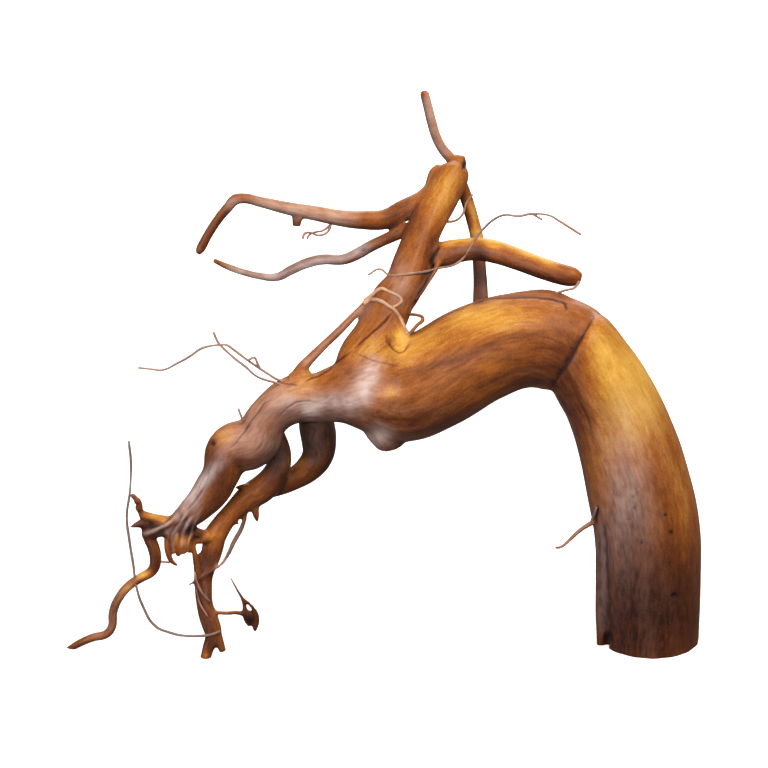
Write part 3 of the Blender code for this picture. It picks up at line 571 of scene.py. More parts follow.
HAIRS = (
    Route("long_hair", (
        (-74.4, -16.7, -13, 0.36), (-73.8, -23.1, -13, 0.36), (-74.1, -31.6, -13, 0.38),
        (-75, -38.6, -13, 0.4), (-74.4, -44.7, -13.2, 0.4), (-73.2, -52.3, -13.6, 0.4),
        (-72.3, -58.8, -13.8, 0.4), (-70.4, -64.8, -14, 0.42), (-66.6, -70.9, -14.3, 0.42),
        (-62.6, -72.6, -14.5, 0.42), (-59, -73.5, -14.6, 0.42), (-52.9, -73.6, -14.7, 0.4),
        (-50.2, -73.2, -14.7, 0.38), (-47.6, -72.3, -13.6, 0.36),
    ), tone=(0.22, 0.35, 0.4)),
    Route("crossing_hair", (
        (-4.4, 31.9, 20, 0.36), (-1.2, 33.6, 19.5, 0.36), (1.4, 32, 16.9, 0.36), (3.2, 31.7, 14.2, 0.36),
        (6.1, 32, 13.6, 0.38), (9.1, 32.4, 14.6, 0.38), (12, 32.8, 17, 0.38), (16.4, 33.9, 21.2, 0.36),
        (20.8, 34.9, 21.5, 0.36), (23.6, 37, 21.6, 0.38), (25.1, 39.4, 21, 0.38), (26.9, 42.6, 22, 0.36),
        (29.5, 45.6, 22, 0.36), (32.5, 48.2, 21.5, 0.36), (35.4, 49.4, 21, 0.36), (39.5, 49.1, 20, 0.36),
        (43, 49.7, 19, 0.36), (48.5, 49.3, 17.5, 0.36), (51.2, 47.8, 16.5, 0.36), (54.7, 45.6, 15, 0.36),
        (57.9, 43.6, 14, 0.36),
    ), tone=(0.34, 0.15, 0.4)),
    Route("collar_hair", (
        (-26.5, -1, -6, 0.5), (-28.6, 0.6, -6, 0.45), (-30.9, 1.3, -5.5, 0.42), (-33.6, 2.9, -5, 0.4),
        (-38.9, 6.4, -4, 0.38), (-43.6, 9.9, -3, 0.36), (-45.9, 11.4, -2.5, 0.36), (-48, 11.4, -2, 0.36),
        (-52.9, 10.5, -1, 0.36), (-56.4, 8.2, 0, 0.36), (-60.2, 6.1, 1, 0.36), (-64.6, 4.1, 2, 0.36),
        (-68.1, 4.4, 3, 0.36), (-71.6, 4.7, 4, 0.36),
    )),
    Route("second_collar_hair", (
        (-28, -1.5, -7, 0.42), (-31, 0.2, -7.5, 0.4), (-35.1, 1.4, -8, 0.38), (-37.1, 2.3, -8, 0.36),
        (-40.6, 5.3, -8.5, 0.36), (-43.6, 7.6, -8.5, 0.36), (-46.8, 10.5, -9, 0.36), (-48.2, 12, -9, 0.36),
        (-49.7, 15.2, -9.5, 0.36),
    )),
    Route("thin_link", (
        (-66.7, -51.5, -13, 0.5), (-64.6, -52, -12.9, 0.42), (-62.4, -52.2, -12.7, 0.42),
    )),
    Route("limb_end_hair", (
        (55.8, 30.6, 13, 0.6), (57, 30.6, 12, 0.5), (56.2, 28.4, 10.5, 0.42), (52.8, 27.3, 9, 0.4),
        (49.2, 26, 9, 0.4),
    )),
    Route("branch_hair", (
        (-15.2, 47.5, 30, 0.4), (-16.1, 44.7, 29, 0.36), (-18.4, 43.5, 28, 0.36), (-22.8, 44.1, 27, 0.36),
        (-23.7, 42.4, 26.5, 0.36),
    )),
    Route("second_branch_hair", (
        (-15.4, 46.6, 29.8, 0.36), (-17.6, 44.9, 28.8, 0.36), (-20.5, 44.2, 27.8, 0.36),
        (-21.8, 43.4, 27.2, 0.36), (-22.3, 42.3, 27, 0.36),
    )),
    Route("short_hair", (
        (17, 47.6, 35.5, 0.4), (20.8, 47.7, 38.5, 0.38), (23.1, 49.6, 42, 0.36), (24.3, 53, 46.5, 0.36),
        (26, 55.3, 50, 0.38),
    )),
    Route("leg_fibre", (
        (-55.1, -55, -12.6, 0.22), (-54.4, -58.2, -13, 0.24), (-52.9, -61.1, -13, 0.24),
        (-50.6, -63.7, -12.8, 0.22),
    ), tone=(0.4, 0.1, 0.3)),
    Route("second_leg_fibre", (
        (-54.7, -60.2, -12.9, 0.22), (-53.5, -64.3, -13.1, 0.24), (-51.2, -68.1, -13.9, 0.22),
    ), tone=(0.4, 0.1, 0.3)),
    Route("upper_strand", (
        (-5.3, 24.1, 11, 0.8), (-3.2, 26, 11, 0.7), (-0.6, 27.8, 10.2, 0.6), (1.2, 27.2, 8.9, 0.5),
        (2.8, 26.5, 8.2, 0.5), (4.4, 25.7, 7.9, 0.5), (5.3, 24.4, 7.4, 0.52), (4.4, 23.2, 6.2, 0.48),
        (2.8, 22.4, 5.1, 0.5),
    ), tone=(0.52, 0, 0.5)),
    Route("lower_strand", (
        (-5.8, 23.5, 10.5, 0.8), (-4.1, 24.4, 10.5, 0.7), (-2.3, 24.6, 8, 0.62), (-0.3, 24, 6.2, 0.6),
        (1.5, 22.8, 5.1, 0.6), (2.9, 21.8, 4.7, 0.6), (3.9, 20.9, 4.7, 0.6), (5, 19.2, 4.6, 0.6),
        (5.9, 17, 3, 0.6), (6.8, 15.4, 0.6, 0.6), (7.1, 14.3, -1.2, 0.6),
    ), tone=(0.5, 0, 0.45)),
    Route("loop", (
        (7, 13.9, -0.8, 0.55), (8.5, 15.6, -0.4, 0.58), (10.2, 17.5, 0.5, 0.6), (11.4, 18.5, 1.8, 0.6),
        (11.4, 19.5, 3.4, 0.52), (10.1, 20.1, 5.5, 0.46), (7.6, 20.4, 8, 0.46),
    ), tone=(0.42, 0.25, 0.1)),
    Route("thorn_root", (
        (62.4, -36, -8, 0.36), (61.8, -38, -6, 0.48), (61, -39.9, -3.2, 0.48),
    ), tone=(0.22, 0.25, 0.55)),
    Route("hair_spur", (
        (43.6, 49.8, 18.9, 0.38), (46.5, 48, 18, 0.36),
    )),
    Route("knob_hair", (
        (-40.6, -12.6, -8.5, 0.4), (-41.2, -10.6, -10.5, 0.38), (-41.7, -9, -10.6, 0.36),
        (-42.4, -7.2, -10.6, 0.36),
    )),
    Route("hair_fork", (
        (-36.2, 4.7, -4.5, 0.38), (-36.9, 6.2, -4.6, 0.36), (-37.8, 7.7, -4.7, 0.36),
        (-38.3, 7.6, -4.8, 0.36), (-39.4, 7, -4.8, 0.36),
    )),
)

FOLD_LINE = ((61.4, 19.3), (60.2, 17.3), (57.9, 13.7), (55.6, 9.4), (53.2, 4.4), (50.3, 0.6), (48.2, -2))
ARCH_TOP_LINE = ((25.7, 23.1), (30.4, 24.9), (37.4, 25.4), (45, 25.4), (50, 24.6), (52.9, 23.4),
                 (53.8, 21.3))
TWIG_LINE = ((12, 84.8), (15.2, 71.3), (19.9, 66.1))

MARKS = (
    # Cracks, creases, steps and ridges, sunk and darkened; the darkening is the cracks' own dark and painted
    # shade in the creases.
    *marks(Kind.DARK, (
        # Painted shade beside the fold, on the arch's side.
        (FOLD_LINE, 0.9, 0.25, 0.35, 0.7, Side.RIGHT),
        (FOLD_LINE, 0.26, 0.2, 0.3, 0.2),
        (((53.5, 2.6), (59.6, -9.6), (61.4, -16.7), (64, -24.9)), 0.5, 0.14, 0.3, 0.12),
        (((64.6, -40.4), (65.2, -49.1), (65.5, -55.8), (65.8, -63.7)), 0.3, 0.7, 0.15, 0.8),
        (((62.9, -42.1), (63.2, -51.5), (63.2, -66.7)), 0.5, 0.25, 0.1, 0.3),
        (ARCH_TOP_LINE, 0.4, 0.3, 0.2, 0.35),
        # Painted shade above the arch's top line.
        (ARCH_TOP_LINE, 1.1, 0.22, 0.15, 0.15, Side.LEFT),
        (((-1.2, 2.6), (7.6, 3.2), (17.3, 6.1), (24.9, 8.2), (30.4, 11.1), (36.3, 13.5), (49.4, 14.6),
          (55.8, 15.2)), 1.5, 0.24, 0.2, 0.06),
        (((-31.9, -3.2), (-36, -7), (-38.9, -11.1), (-41.2, -14.6), (-43.3, -17.3),
          (-45.9, -19.6)), 0.2, 0.38, 0.2, 0.25),
        (((-30.7, -9.9), (-28.7, -7.3), (-25.4, -5.3), (-21.6, -5), (-19.3, -5.6),
          (-18.1, -6.4)), 0.25, 0.25, 0.3, 0.35),
        (((-24.6, -11.1), (-22.2, -11.7), (-18.7, -11.4)), 0.3, 0.4, 0.2, 0.5),
        (((-30.4, 0.3), (-26.6, 0), (-24.6, -0.6)), 0.2, 0.3, 0.2, 0.2),
        (((-23.7, 0.3), (-21.1, 1.5), (-19, 2.3), (-16.7, 3.8), (-14.3, 5.8),
          (-8.8, 9.9)), 0.24, 0.35, 0.2, 0.3),
        (((2.6, 20.8), (0.6, 18.4), (-2, 16.1), (-5.6, 13.2), (-8.8, 10.2)), 0.3, 0.3, 0.15, 0.35),
        (((-8.8, 9.6), (-6.4, 8.2), (-3.2, 7), (0, 6.1), (3.2, 5.3), (5.8, 5)), 0.2, 0.32, 0.3, 0.15),
        (((16.7, 40.9), (15.5, 38.9), (14.3, 36.5), (13.7, 34.5)), 0.5, 0.45, 0.2, 0.5),
        (((15.5, 35.7), (13.2, 30.7), (10.8, 26.9), (9.1, 24.6)), 0.3, 0.35, 0.2, 0.3),
        (((-52.6, -30.1), (-54.7, -33.6), (-57.6, -37.1)), 0.25, 0.55, 0.2, 0.35),
        (((0.6, 14.6), (1.2, 12.3), (2.6, 10.2), (4.4, 9.1), (6.1, 9.6), (7.3, 11.4),
          (7.9, 12.9)), 0.3, 0.22, 0.2, 0.25),
        (((51.5, 24.6), (53.2, 23.4), (53.8, 21.1)), 0.35, 0.35, 0.3, 0.3),
        (((62.6, -35.4), (62, -41.5)), 0.5, 0.5, 0.3, 0.4),
        (((-57.9, -37.7), (-59.9, -40.6), (-62, -43.3), (-62.6, -47.1)), 0.35, 0.28, 0.25, 0.25),
        (((-55.8, -37.4), (-57.9, -40.6), (-59.4, -43.6), (-59.9, -48)), 0.35, 0.28, 0.25, 0.25),
        (((-54.1, -38.9), (-56.1, -41.8), (-57.3, -45), (-57.6, -48.8)), 0.35, 0.28, 0.25, 0.25),
        (((-60.8, -38.3), (-64, -40.9), (-67.8, -42.1)), 0.35, 0.28, 0.25, 0.25),
        (((-49.1, -22.8), (-52.3, -26.9), (-55, -31)), 0.3, 0.25, 0.3, 0.12),
        (((-50.9, -27.5), (-53.8, -32.2), (-56.7, -36.3)), 0.3, 0.25, 0.3, 0.12),
        (((64.9, -72.5), (64.9, -76.6), (65.1, -81.3)), 0.6, 0.6, 0.35, 1.7),
    )),
    # Golden streaks; along the right limb's top they are partly painted warm highlight.
    *marks(Kind.GOLD, (
        (((22.8, 64), (18.7, 55.3), (13.5, 45.6), (8.2, 35.7), (4.1, 26.9), (-1.8, 15.8)), 3.6, 0.03, 0.15),
        (((18.7, 42.7), (26.6, 44.4), (35.4, 41.8), (44.2, 38), (52.9, 34.5)), 1.5, 0.42, 0.15),
        (((24, 55.3), (26.3, 49.4), (28.1, 44.4)), 1.5, 0.2),
        (((-9.4, 11.4), (-15.8, 6.4), (-21.1, 0.3), (-27.5, -4.1)), 2.4, 0.1, 0.2),
        (((-71.1, -56.4), (-75.1, -60.8), (-78.4, -67.5), (-80.1, -72.5), (-88.3, -75.4)), 1.6, 0.12, 0.15),
        (((-5.6, 48), (-19.3, 50.3), (-34.8, 52.9), (-42.1, 53.2)), 1.6, 0.1, 0.2),
        (((15.2, 40.1), (20.8, 41.8), (28.1, 42.1), (35.4, 39.2)), 1.5, 0.3, 0.15),
    )),
    # Dark streaks, and a painted shadow along the top outline under the back rim.
    *marks(Kind.DARK, (
        (((4.7, -12), (16.4, -6.1), (31, 0.6), (45.6, 7)), 2, 0.08),
        (((10.2, 54.4), (6.1, 50.6), (-1.2, 48.5)), 3, 0.2, 0.2),
        (((-44.4, 51.5), (-49.1, 45.6), (-53.8, 39.2)), 2, 0.25, 0.1),
        (TWIG_LINE, 1.8, 0.2, 0.1),
        (((-69.3, -43.9), (-67, -48), (-66.7, -52), (-68.4, -55)), 2.2, 0.25, 0.2),
        # Painted shadow along the top outline, under the back rim.
        (((9.9, 15.8), (16.4, 19), (22.8, 21.9), (30.4, 24.9)), 0.7, 0.45, 0.15, 0, Side.LEFT),
        (((-51.5, -47.1), (-52, -63.2), (-50.3, -79.2)), 3, 0.28, 0.1),
        (((27.8, 46.5), (28.4, 35.7), (28.4, 23.1)), 2.2, 0.32, 0.1),
        (((25.1, 33.9), (39.8, 31.9), (55.8, 27.5)), 1.8, 0.3, 0.2),
        (((16.4, 46.5), (13.7, 39.8), (11.7, 29.2), (7.9, 20.8)), 1.6, 0.3, 0.2),
        (((-40.4, -39.8), (-42.1, -44.2), (-46.5, -51.5)), 1.2, 0.42, 0.1),
    )),
    # Ashen grey streaks, and painted sheens: pale highlights on the arch's left end, the neck, the branches
    # and the left leg.
    *marks(Kind.ASH, (
        (((-5.6, 48), (-19.3, 49.7), (-34.8, 52.9), (-41.5, 53.8)), 2.6, 0.5, 0.15),
        (((-3.5, 40.9), (-11.4, 37.1), (-17.3, 36.5), (-31.6, 31.6), (-43.6, 33.3),
          (-49.1, 36.3)), 1.8, 0.85, 0.1),
        (TWIG_LINE, 1.8, 0.35, 0.1),
        (((-24, 4.1), (-17.3, 11.4), (-3.5, 24.6)), 1.8, 0.25, 0.1),
        (((-44.4, -20.8), (-49.4, -24.6), (-54.4, -30.4), (-58.8, -36), (-62, -40.4)), 1.8, 0.8, 0.35),
        (((-70.8, -56.4), (-77.8, -62.6), (-79.5, -71.3), (-88.9, -75.7)), 1.6, 0.12, 0.25),
        (((15.8, 35.1), (12, 29.8), (9.1, 25.1)), 0.7, 0.15, 0.1),
        (((-0.9, 9.4), (-2.3, 7), (-3.8, 3.8), (-5.3, 0), (-5.6, -3.5), (-6.4, -7.6)), 2.8, 0.85),
        (((-4.1, -4.7), (-9.9, -5.3), (-15.8, -5.3), (-20.5, -5.6), (-24.6, -7)), 2.3, 0.65, 0.2),
        (((-59.6, -37.4), (-62.3, -40.4), (-66.1, -42.4), (-69, -43.6), (-70.5, -44.2)), 0.7, 0.6, 0.15),
        (((-56.7, -36.8), (-58.8, -39.8), (-60.5, -42.7), (-61.1, -45.9), (-61.4, -49.7)), 0.45, 0.3, 0.2),
        (((-53.5, -38), (-55, -40.4), (-56.1, -43), (-56.4, -45.9), (-56.7, -48.8)), 0.5, 0.25, 0.2),
        (((-55.3, -38), (-57, -40.6), (-58.2, -43.3), (-58.8, -46.2), (-58.8, -48.8)), 0.4, 0.4, 0.2),
        (((-55, -57.3), (-52.9, -60.8), (-50.6, -63.7)), 0.35, 0.4, 0.2),
        (((63.5, -39.8), (63.7, -51.5), (64, -63.2), (64, -74.3)), 1.4, 0.16, 0.1),
        (((-40.4, -39.8), (-42.1, -44.2), (-46.5, -51.5), (-49.7, -54.7)), 1, 0.22, 0.1),
        (((60.8, -39.8), (56.7, -42.7), (53.2, -45.9), (50.9, -48)), 1.1, 0.35, 0.1),
    )),
)

SPOTS = (
    # Pits and small knots.
    *spots(Kind.DARK, (
        (-50, -17.3, 0.7, 0.8, 0.7, -0.5), (-6.1, 39.2, 0.9, 0.8, 0.7, -0.45),
        (24, 63.7, 0.8, 1.1, 0.85, -0.8), (65.5, -74.3, 0.9, 1.3, 0.5, -1.3),
        (71.9, -39.5, 0.5, 0.4, 0.45, -0.1), (73.1, -33, 0.5, 0.5, 0.5, -0.15),
        (73.4, -36.3, 0.4, 0.5, 0.5, -0.15), (75.4, -46.5, 0.5, 0.5, 0.45, -0.1),
        (82.5, -38.3, 0.6, 0.4, 0.5, -0.1), (84.2, -43.3, 0.5, 0.6, 0.6, -0.15),
        (85.1, -62, 0.75, 0.7, 0.7, -0.7),
    )),
    # Golden places: the wood's golden tone, partly painted warm highlight on the arch's top and the trunk's
    # right shoulder.
    *spots(Kind.GOLD, (
        (-74.3, -60.2, 2.2, 1.6, 0.3), (-70.5, -55.8, 2.6, 1.5, 0.45), (-67.8, -38.9, 2.6, 1.2, 0.35),
        (-64.6, -40.1, 2.4, 1.2, 0.4), (-59.6, -44.7, 4, 4, 0.14), (-57.9, -45.9, 3.5, 3.5, 0.22),
        (-51.8, -79.2, 0.8, 0.8, 0.3), (-50, -44.2, 3.2, 2.4, 0.28), (-47.4, -15.5, 3, 2.6, 0.2),
        (-45.6, 34.5, 4, 2.6, 0.12), (-45.6, -15.2, 3.5, 4, 0.14), (-42.1, -7, 3, 4, 0.1),
        (-36.8, -5.3, 4, 7, 0.1), (-28.1, -3.5, 6, 4, 0.15), (-24.6, -23.1, 2.9, 2.3, 0.4),
        (-24.3, 1.8, 4.5, 2.5, 0.12), (-3.5, 10.5, 8, 5, 0.26), (-1.8, -1.2, 6, 9, 0.1),
        (-0.3, -16.7, 4, 3, 0.12), (2.3, -2.6, 4.5, 2, 0.25), (4.4, 13.5, 2.6, 3.2, 0.25),
        (6.1, 14.9, 4, 4, 0.12), (7.6, 7, 6, 4, 0.15), (12, 50.9, 3, 9, 0.06), (12, 45, 3, 5, -0.06),
        (12.9, 12, 8, 4, 0.22), (15.8, 56.1, 5, 9, 0.1), (19.9, 58.8, 5, 8, 0.16),
        (28.1, -3.2, 14, 4, 0.14), (28.1, 43.9, 2.5, 1.2, 0.2), (29.5, 19.3, 14, 5.5, 0.36),
        (31, 4.7, 4.5, 1.8, 0.25), (33.9, 38, 14, 2.2, 0.03), (63.2, 11.4, 4, 6, 0.25),
        (63.2, -23.7, 4.5, 15, 0.28), (66.1, 2.6, 7, 11, 0.36), (69.6, -12, 7, 10, 0.16),
        (72.5, -16.4, 7, 14, 0.15), (76.3, 1.2, 8, 16, 0.36), (83, -23.7, 4, 6, 0.08),
        (87.4, -31, 3, 14, 0.12), (88.3, -38.3, 2, 8, 0.08),
    )),
    # Dark places: the wood's darker tone, partly painted shade under the arch and in the hollows of the left
    # end.
    *spots(Kind.DARK, (
        (-72.2, -34.8, 2.6, 4, 0.22), (-69.3, -41.5, 2.6, 1.6, 0.5), (-65.5, -42.7, 7, 3.5, 0.2),
        (-55, -43, 3.6, 1.6, 0.55), (-49.4, -28.1, 4, 7, 0.2), (-39.2, -67.8, 3.2, 5, 0.6),
        (-36.3, -18.1, 7, 6, 0.1), (-30.4, -23.7, 4.1, 8.8, 0.5), (-20.2, -20.8, 8, 9, 0.25),
        (-9.4, 3.5, 5, 2.2, 0.15), (-5.6, 12.9, 3, 4, 0.14), (0.3, 21.6, 4, 7, 0.1),
        (5.3, 28.9, 3.5, 8, 0.1), (12, 44.4, 3, 6, 0.12), (19.3, -13.5, 17.5, 4, 0.04),
        (20.8, 14.3, 16, 3, -0.05), (22.2, 52.3, 2, 8, 0.2), (28.1, 28.4, 2.6, 6, 0.35),
        (52.9, 11.4, 4, 8, 0.2), (80.7, -66.7, 17.5, 17, 0.55),
    )),
    # Places with an ashen grey cast, partly painted sheen on the neck, the chin and the trunk's middle.
    *spots(Kind.ASH, (
        (-62, -43, 2, 1.5, 0.3), (-58.5, -40.4, 2, 2.6, 0.25), (-55, -35.7, 2.4, 4, 0.3),
        (-45.6, 34.5, 4, 2.6, -0.3), (-43.6, -15.8, 5, 4.5, 0.2), (-43.3, 52.6, 3, 2, 0.35),
        (-39.2, -4.7, 3, 6, 0.14), (-36.8, -3.2, 4, 6, 0.08), (-36.3, -17.5, 6, 6, 0.15),
        (-35.7, -12, 9, 8, 0.16), (-35.7, -12, 4, 4, -0.05), (-30.4, -20.8, 3, 5, 0.12),
        (-28.9, -4.7, 5, 4, 0.16), (-28.1, -3.5, 7, 5, 0.2), (-27.5, -6.1, 3, 3, 0.2),
        (-26.9, 33.3, 3, 2, -0.3), (-21.6, -7.6, 2.6, 2, 0.9), (-21.6, -1.2, 6, 2.5, 0.05),
        (-19.3, -16.7, 4, 7, 0.15), (-11.4, -8.8, 7, 1.6, 0.2), (-9.9, 36.3, 2.6, 2, -0.25),
        (-5.6, 0.6, 5, 4, 0.18), (-5.3, 40.4, 3, 1.6, 0.2), (-1.8, -15.8, 4, 3, 0.12),
        (-0.9, -15.2, 3.2, 3, 0.6), (5.3, 28.9, 3, 7, 0.3), (64.3, -51.5, 1.6, 12, 0.05),
        (69.6, -13.5, 6, 10, 0.16), (71.9, -31.6, 6.4, 17.5, 0.42),
    )),
)


class Speckle:
    """Random values on a lattice that repeats, smooth between its points."""

    COUNT = 64

    def __init__(self, size: float, seed: int) -> None:
        """Draws the values.

        Args:
            size: Millimetres between two lattice points.
            seed: Seed of the draw.
        """
        self.size = size
        self.values = np.random.default_rng(seed).random((self.COUNT,) * 3, dtype=np.float32)

    def at(self, points: np.ndarray) -> np.ndarray:
        """Reads the speckle at points.

        Args:
            points: Places in millimetres, one a row.

        Returns:
            The value at each point, from 0 to 1.
        """
        scaled = points / self.size
        low = np.floor(scaled).astype(np.int64)
        share = (scaled - low).astype(np.float32)
        share = share * share * (3 - 2 * share)
        first, second = low % self.COUNT, (low + 1) % self.COUNT
        total = np.zeros(len(points), np.float32)
        for corner in range(8):
            index, weight = [], np.ones(len(points), np.float32)
            for axis in range(3):
                far = corner >> axis & 1
                index.append((second if far else first)[:, axis])
                weight = weight * (share[:, axis] if far else 1 - share[:, axis])
            total += weight * self.values[tuple(index)]
        return total


@dataclass(frozen=True)
class Streaks:
    """Layers of grain: how large their speckles are, and how far these are drawn out, in millimetres."""

    sizes: tuple[float, ...]
    reaches: tuple[float, ...]
    step: float


class Flow:
    """The direction that the grain runs in, in cells round the wood."""

    CELL = 1.5
    MARGIN = 3
    SHARPNESS = 5
    SOFTNESS = 0.01
    NUDGE = 0.001

    def __init__(self, lines: Sequence[np.ndarray], points: np.ndarray) -> None:
        """Finds the grain's direction in every cell near the surface.

        Args:
            lines: Middle lines of the limbs, as Route.line gives them.
            points: Points of the surface, in millimetres.
        """
        self.low = points.min(0) - self.MARGIN * self.CELL
        shape = ((points.max(0) - self.low) / self.CELL).astype(int) + 1 + self.MARGIN
        near = np.zeros(shape, bool)
        near[tuple(self.cells(points).T)] = True
        for axis in (0, 1, 2, 0, 1, 2):
            near = near | np.roll(near, 1, axis) | np.roll(near, -1, axis)
        cells = np.argwhere(near)
        centres = (cells + 0.5) * self.CELL + self.low
        weights, headings = [], []
        for line in lines:
            nearest, ratio = nearest_sample(line, centres)
            along = np.gradient(line[:, :3], axis=0)
            along /= np.linalg.norm(along, axis=1)[:, None] + TINY
            weights.append(1 / (ratio**self.SHARPNESS + self.SOFTNESS))
            headings.append(along[nearest])
        weights, headings = np.array(weights), np.array(headings)
        leader = weights.argmax(0)
        reference = headings[leader, np.arange(len(cells))]
        agree = np.sign((headings * reference).sum(2)) + self.NUDGE
        mixed = (headings * (weights * agree)[:, :, None]).sum(0)
        mixed /= np.linalg.norm(mixed, axis=1)[:, None] + TINY
        self.ways = np.zeros((*shape, 3), np.float32)
        self.ways[tuple(cells.T)] = mixed

    def cells(self, points: np.ndarray) -> np.ndarray:
        """The cell of each point."""
        return ((points - self.low) / self.CELL).astype(int)

    def at(self, points: np.ndarray) -> np.ndarray:
        """The grain's direction at each point."""
        found = np.clip(self.cells(points), 0, np.array(self.ways.shape[:3]) - 1)
        return self.ways[tuple(found.T)]

    def drawn_out(self, points: np.ndarray, streaks: Streaks) -> list[np.ndarray]:
        """Draws random speckles out along the grain into streaks.

        Args:
            points: Points of the surface, in millimetres.
            streaks: The layers that are wanted.

        Returns:
            The value of each layer at each point, with a mean of 0 and a spread of 1.
        """
        speckles = [Speckle(size, SEED + number) for number, size in enumerate(streaks.sizes)]
        sums = [speckle.at(points) for speckle in speckles]
        step = streaks.step
        for way in (1.0, -1.0):
            place = points.copy()
            heading = self.at(place) * way
            for count in range(1, int(max(streaks.reaches) / step)):
                found = self.at(place)
                turned = np.where((found * heading).sum(1) < 0, -1.0, 1.0)
                heading = found * turned[:, None]
                place = place + heading * step
                for index, (speckle, reach) in enumerate(zip(speckles, streaks.reaches)):
                    share = 1 - count * step / reach
                    if share > 0:
                        sums[index] += share * speckle.at(place)
        return [(total - total.mean()) / total.std() for total in sums]


def nearest_sample(line: np.ndarray, points: np.ndarray) -> tuple[np.ndarray, np.ndarray]:
    """Finds which sample of a middle line is nearest to each point.

    Args:
        line: A row of place and radius for each sample.
        points: Places in millimetres.

    Returns:
        The number of the nearest sample, and the distance to it in radii of the limb.
    """
    nearest = np.zeros(len(points), np.int64)
    ratio = np.zeros(len(points), np.float32)
    places = line[:, :3].astype(np.float32)
    lengths = (places**2).sum(1)
    for start in range(0, len(points), BATCH):
        batch = slice(start, start + BATCH)
        part = points[batch].astype(np.float32)
        gaps = lengths - 2 * part @ places.T
        found = gaps.argmin(1)
        nearest[batch] = found
        ratio[batch] = np.linalg.norm(part - places[found], axis=1) / line[found, 3]
    return nearest, ratio


def owners(lines: Sequence[np.ndarray], points: np.ndarray) -> tuple[np.ndarray, np.ndarray]:
    """Finds which limb each point belongs to.

    Args:
        lines: The limbs' middle lines, as Route.line gives them.
        points: Points of the skin, in millimetres.

    Returns:
        The limb's number and its radius there, for each point.
    """
    best = np.full(len(points), np.inf)
    owner = np.zeros(len(points), int)
    radius = np.zeros(len(points))
    for number, line in enumerate(lines):
        nearest, ratio = nearest_sample(line, points)
        closer = ratio < best
        best[closer] = ratio[closer]
        owner[closer] = number
        radius[closer] = line[nearest[closer], 3]
    return owner, radius


class Skin:
    """A mesh's points, edges and normals as arrays in millimetres, for shaping it all over at once."""

    def __init__(self, obj: bpy.types.Object) -> None:
        """Reads an object's mesh.

        Args:
            obj: The mesh object.
        """
        self.mesh = obj.data
        self.points = read(self.mesh.vertices, "co", 3, float) / MM
        self.edges = read(self.mesh.edges, "vertices", 2)
        self.degree = np.bincount(self.edges.ravel(), minlength=len(self.points))[:, None]
        self.normals = read(self.mesh.vertices, "normal", 3, float)

    def write(self) -> None:
        """Puts the points into the mesh and reads its new normals."""
        self.mesh.vertices.foreach_set("co", (self.points * MM).ravel())
        self.mesh.update()
        self.normals = read(self.mesh.vertices, "normal", 3, float)

    def averaged(self, values: np.ndarray) -> np.ndarray:
        """Averages values over each point's neighbours.

        Args:
            values: A row for each point.

        Returns:
            The mean of the neighbours' rows, for each point.
        """
        first, second = self.edges[:, 0], self.edges[:, 1]
        count = len(self.points)
        total = np.empty_like(values)
        for column in range(values.shape[1]):
            row = values[:, column]
            total[:, column] = np.bincount(first, row[second], count)
            total[:, column] += np.bincount(second, row[first], count)
        return total / self.degree

    def relaxed(self, rounds: int, share: np.ndarray | float = 0.5) -> np.ndarray:
        """The points after each has moved towards its neighbours' mean.

        Args:
            rounds: How often they move.
            share: How far, from 0 to 1, as one number or a column.

        Returns:
            The moved points.
        """
        points = self.points.copy()
        for _ in range(rounds):
            points += (self.averaged(points) - points) * share
        return points

    def store(self, name: str, columns: Sequence[np.ndarray]) -> None:
        """Keeps three values from 0 to 1 for each point as a colour attribute.

        Args:
            name: The attribute's name.
            columns: The three values.
        """
        layer = self.mesh.color_attributes.new(name, "FLOAT_COLOR", "POINT")
        colours = np.ones((len(self.points), 4), np.float32)
        for index, column in enumerate(columns):
            colours[:, index] = np.clip(column, 0, 1)
        layer.data.foreach_set("color", colours.ravel())


def beside_line(flat: np.ndarray, line: Sequence[Flat]) -> tuple[np.ndarray, np.ndarray, np.ndarray]:
    """Finds where points as seen lie beside a line.

    Args:
        flat: Right and up of each point.
        line: The line's points.

    Returns:
        The distance in millimetres, the share of the line's length at the nearest place, and the side,
        above 0 on the left.
    """
    corners = np.array(line, float)
    lengths = np.linalg.norm(np.diff(corners, axis=0), axis=1)
    passed = np.concatenate([[0], np.cumsum(lengths)])
    nearest = np.full(len(flat), np.inf)
    along = np.zeros(len(flat))
    left = np.zeros(len(flat))
    for start, end, length, before in zip(corners, corners[1:], lengths, passed):
        way = (end - start) / length
        offset = flat - start
        forward = offset @ way
        reached = np.clip(forward, 0, length)
        gap = np.linalg.norm(offset - reached[:, None] * way, axis=1)
        closer = gap < nearest
        nearest[closer] = gap[closer]
        along[closer] = (before + reached[closer]) / passed[-1]
        left[closer] = (way[0] * offset[:, 1] - way[1] * offset[:, 0])[closer]
    return nearest, along, left


TRUNK_LIMBS = ("trunk", "bark_strip")
ARCH_LIMBS = ("arch", "back_ridge", "chin")
ROOT_LIMBS = (
    "under_limb", "forward_limb", "front_leg", "split_end", "end_web", "leg_web", "bridge_lump", "knot_lobe",
    "chunk_heart", "left_root", "horn", "left_spike", "side_strand", "right_toe", "heel_stub", "upper_stub",
    "chunk_spike", "chunk_arm", "side_twig",
)


class Part(Enum):
    """A closed piece that the body is parted into."""

    TRUNK = 0
    ARCH = 1
    BRANCHES = 2
    ROOTS = 3

    @classmethod
    def of(cls, limb: str) -> "Part":
        """Finds the part that a limb belongs to.

        Args:
            limb: The limb's name.

        Returns:
            Its part, whatever the fold and the neck change later.
        """
        if limb in TRUNK_LIMBS:
            return cls.TRUNK
        if limb in ARCH_LIMBS:
            return cls.ARCH
        if limb in ROOT_LIMBS or limb.startswith(("splinter", "torn")):
            return cls.ROOTS
        return cls.BRANCHES


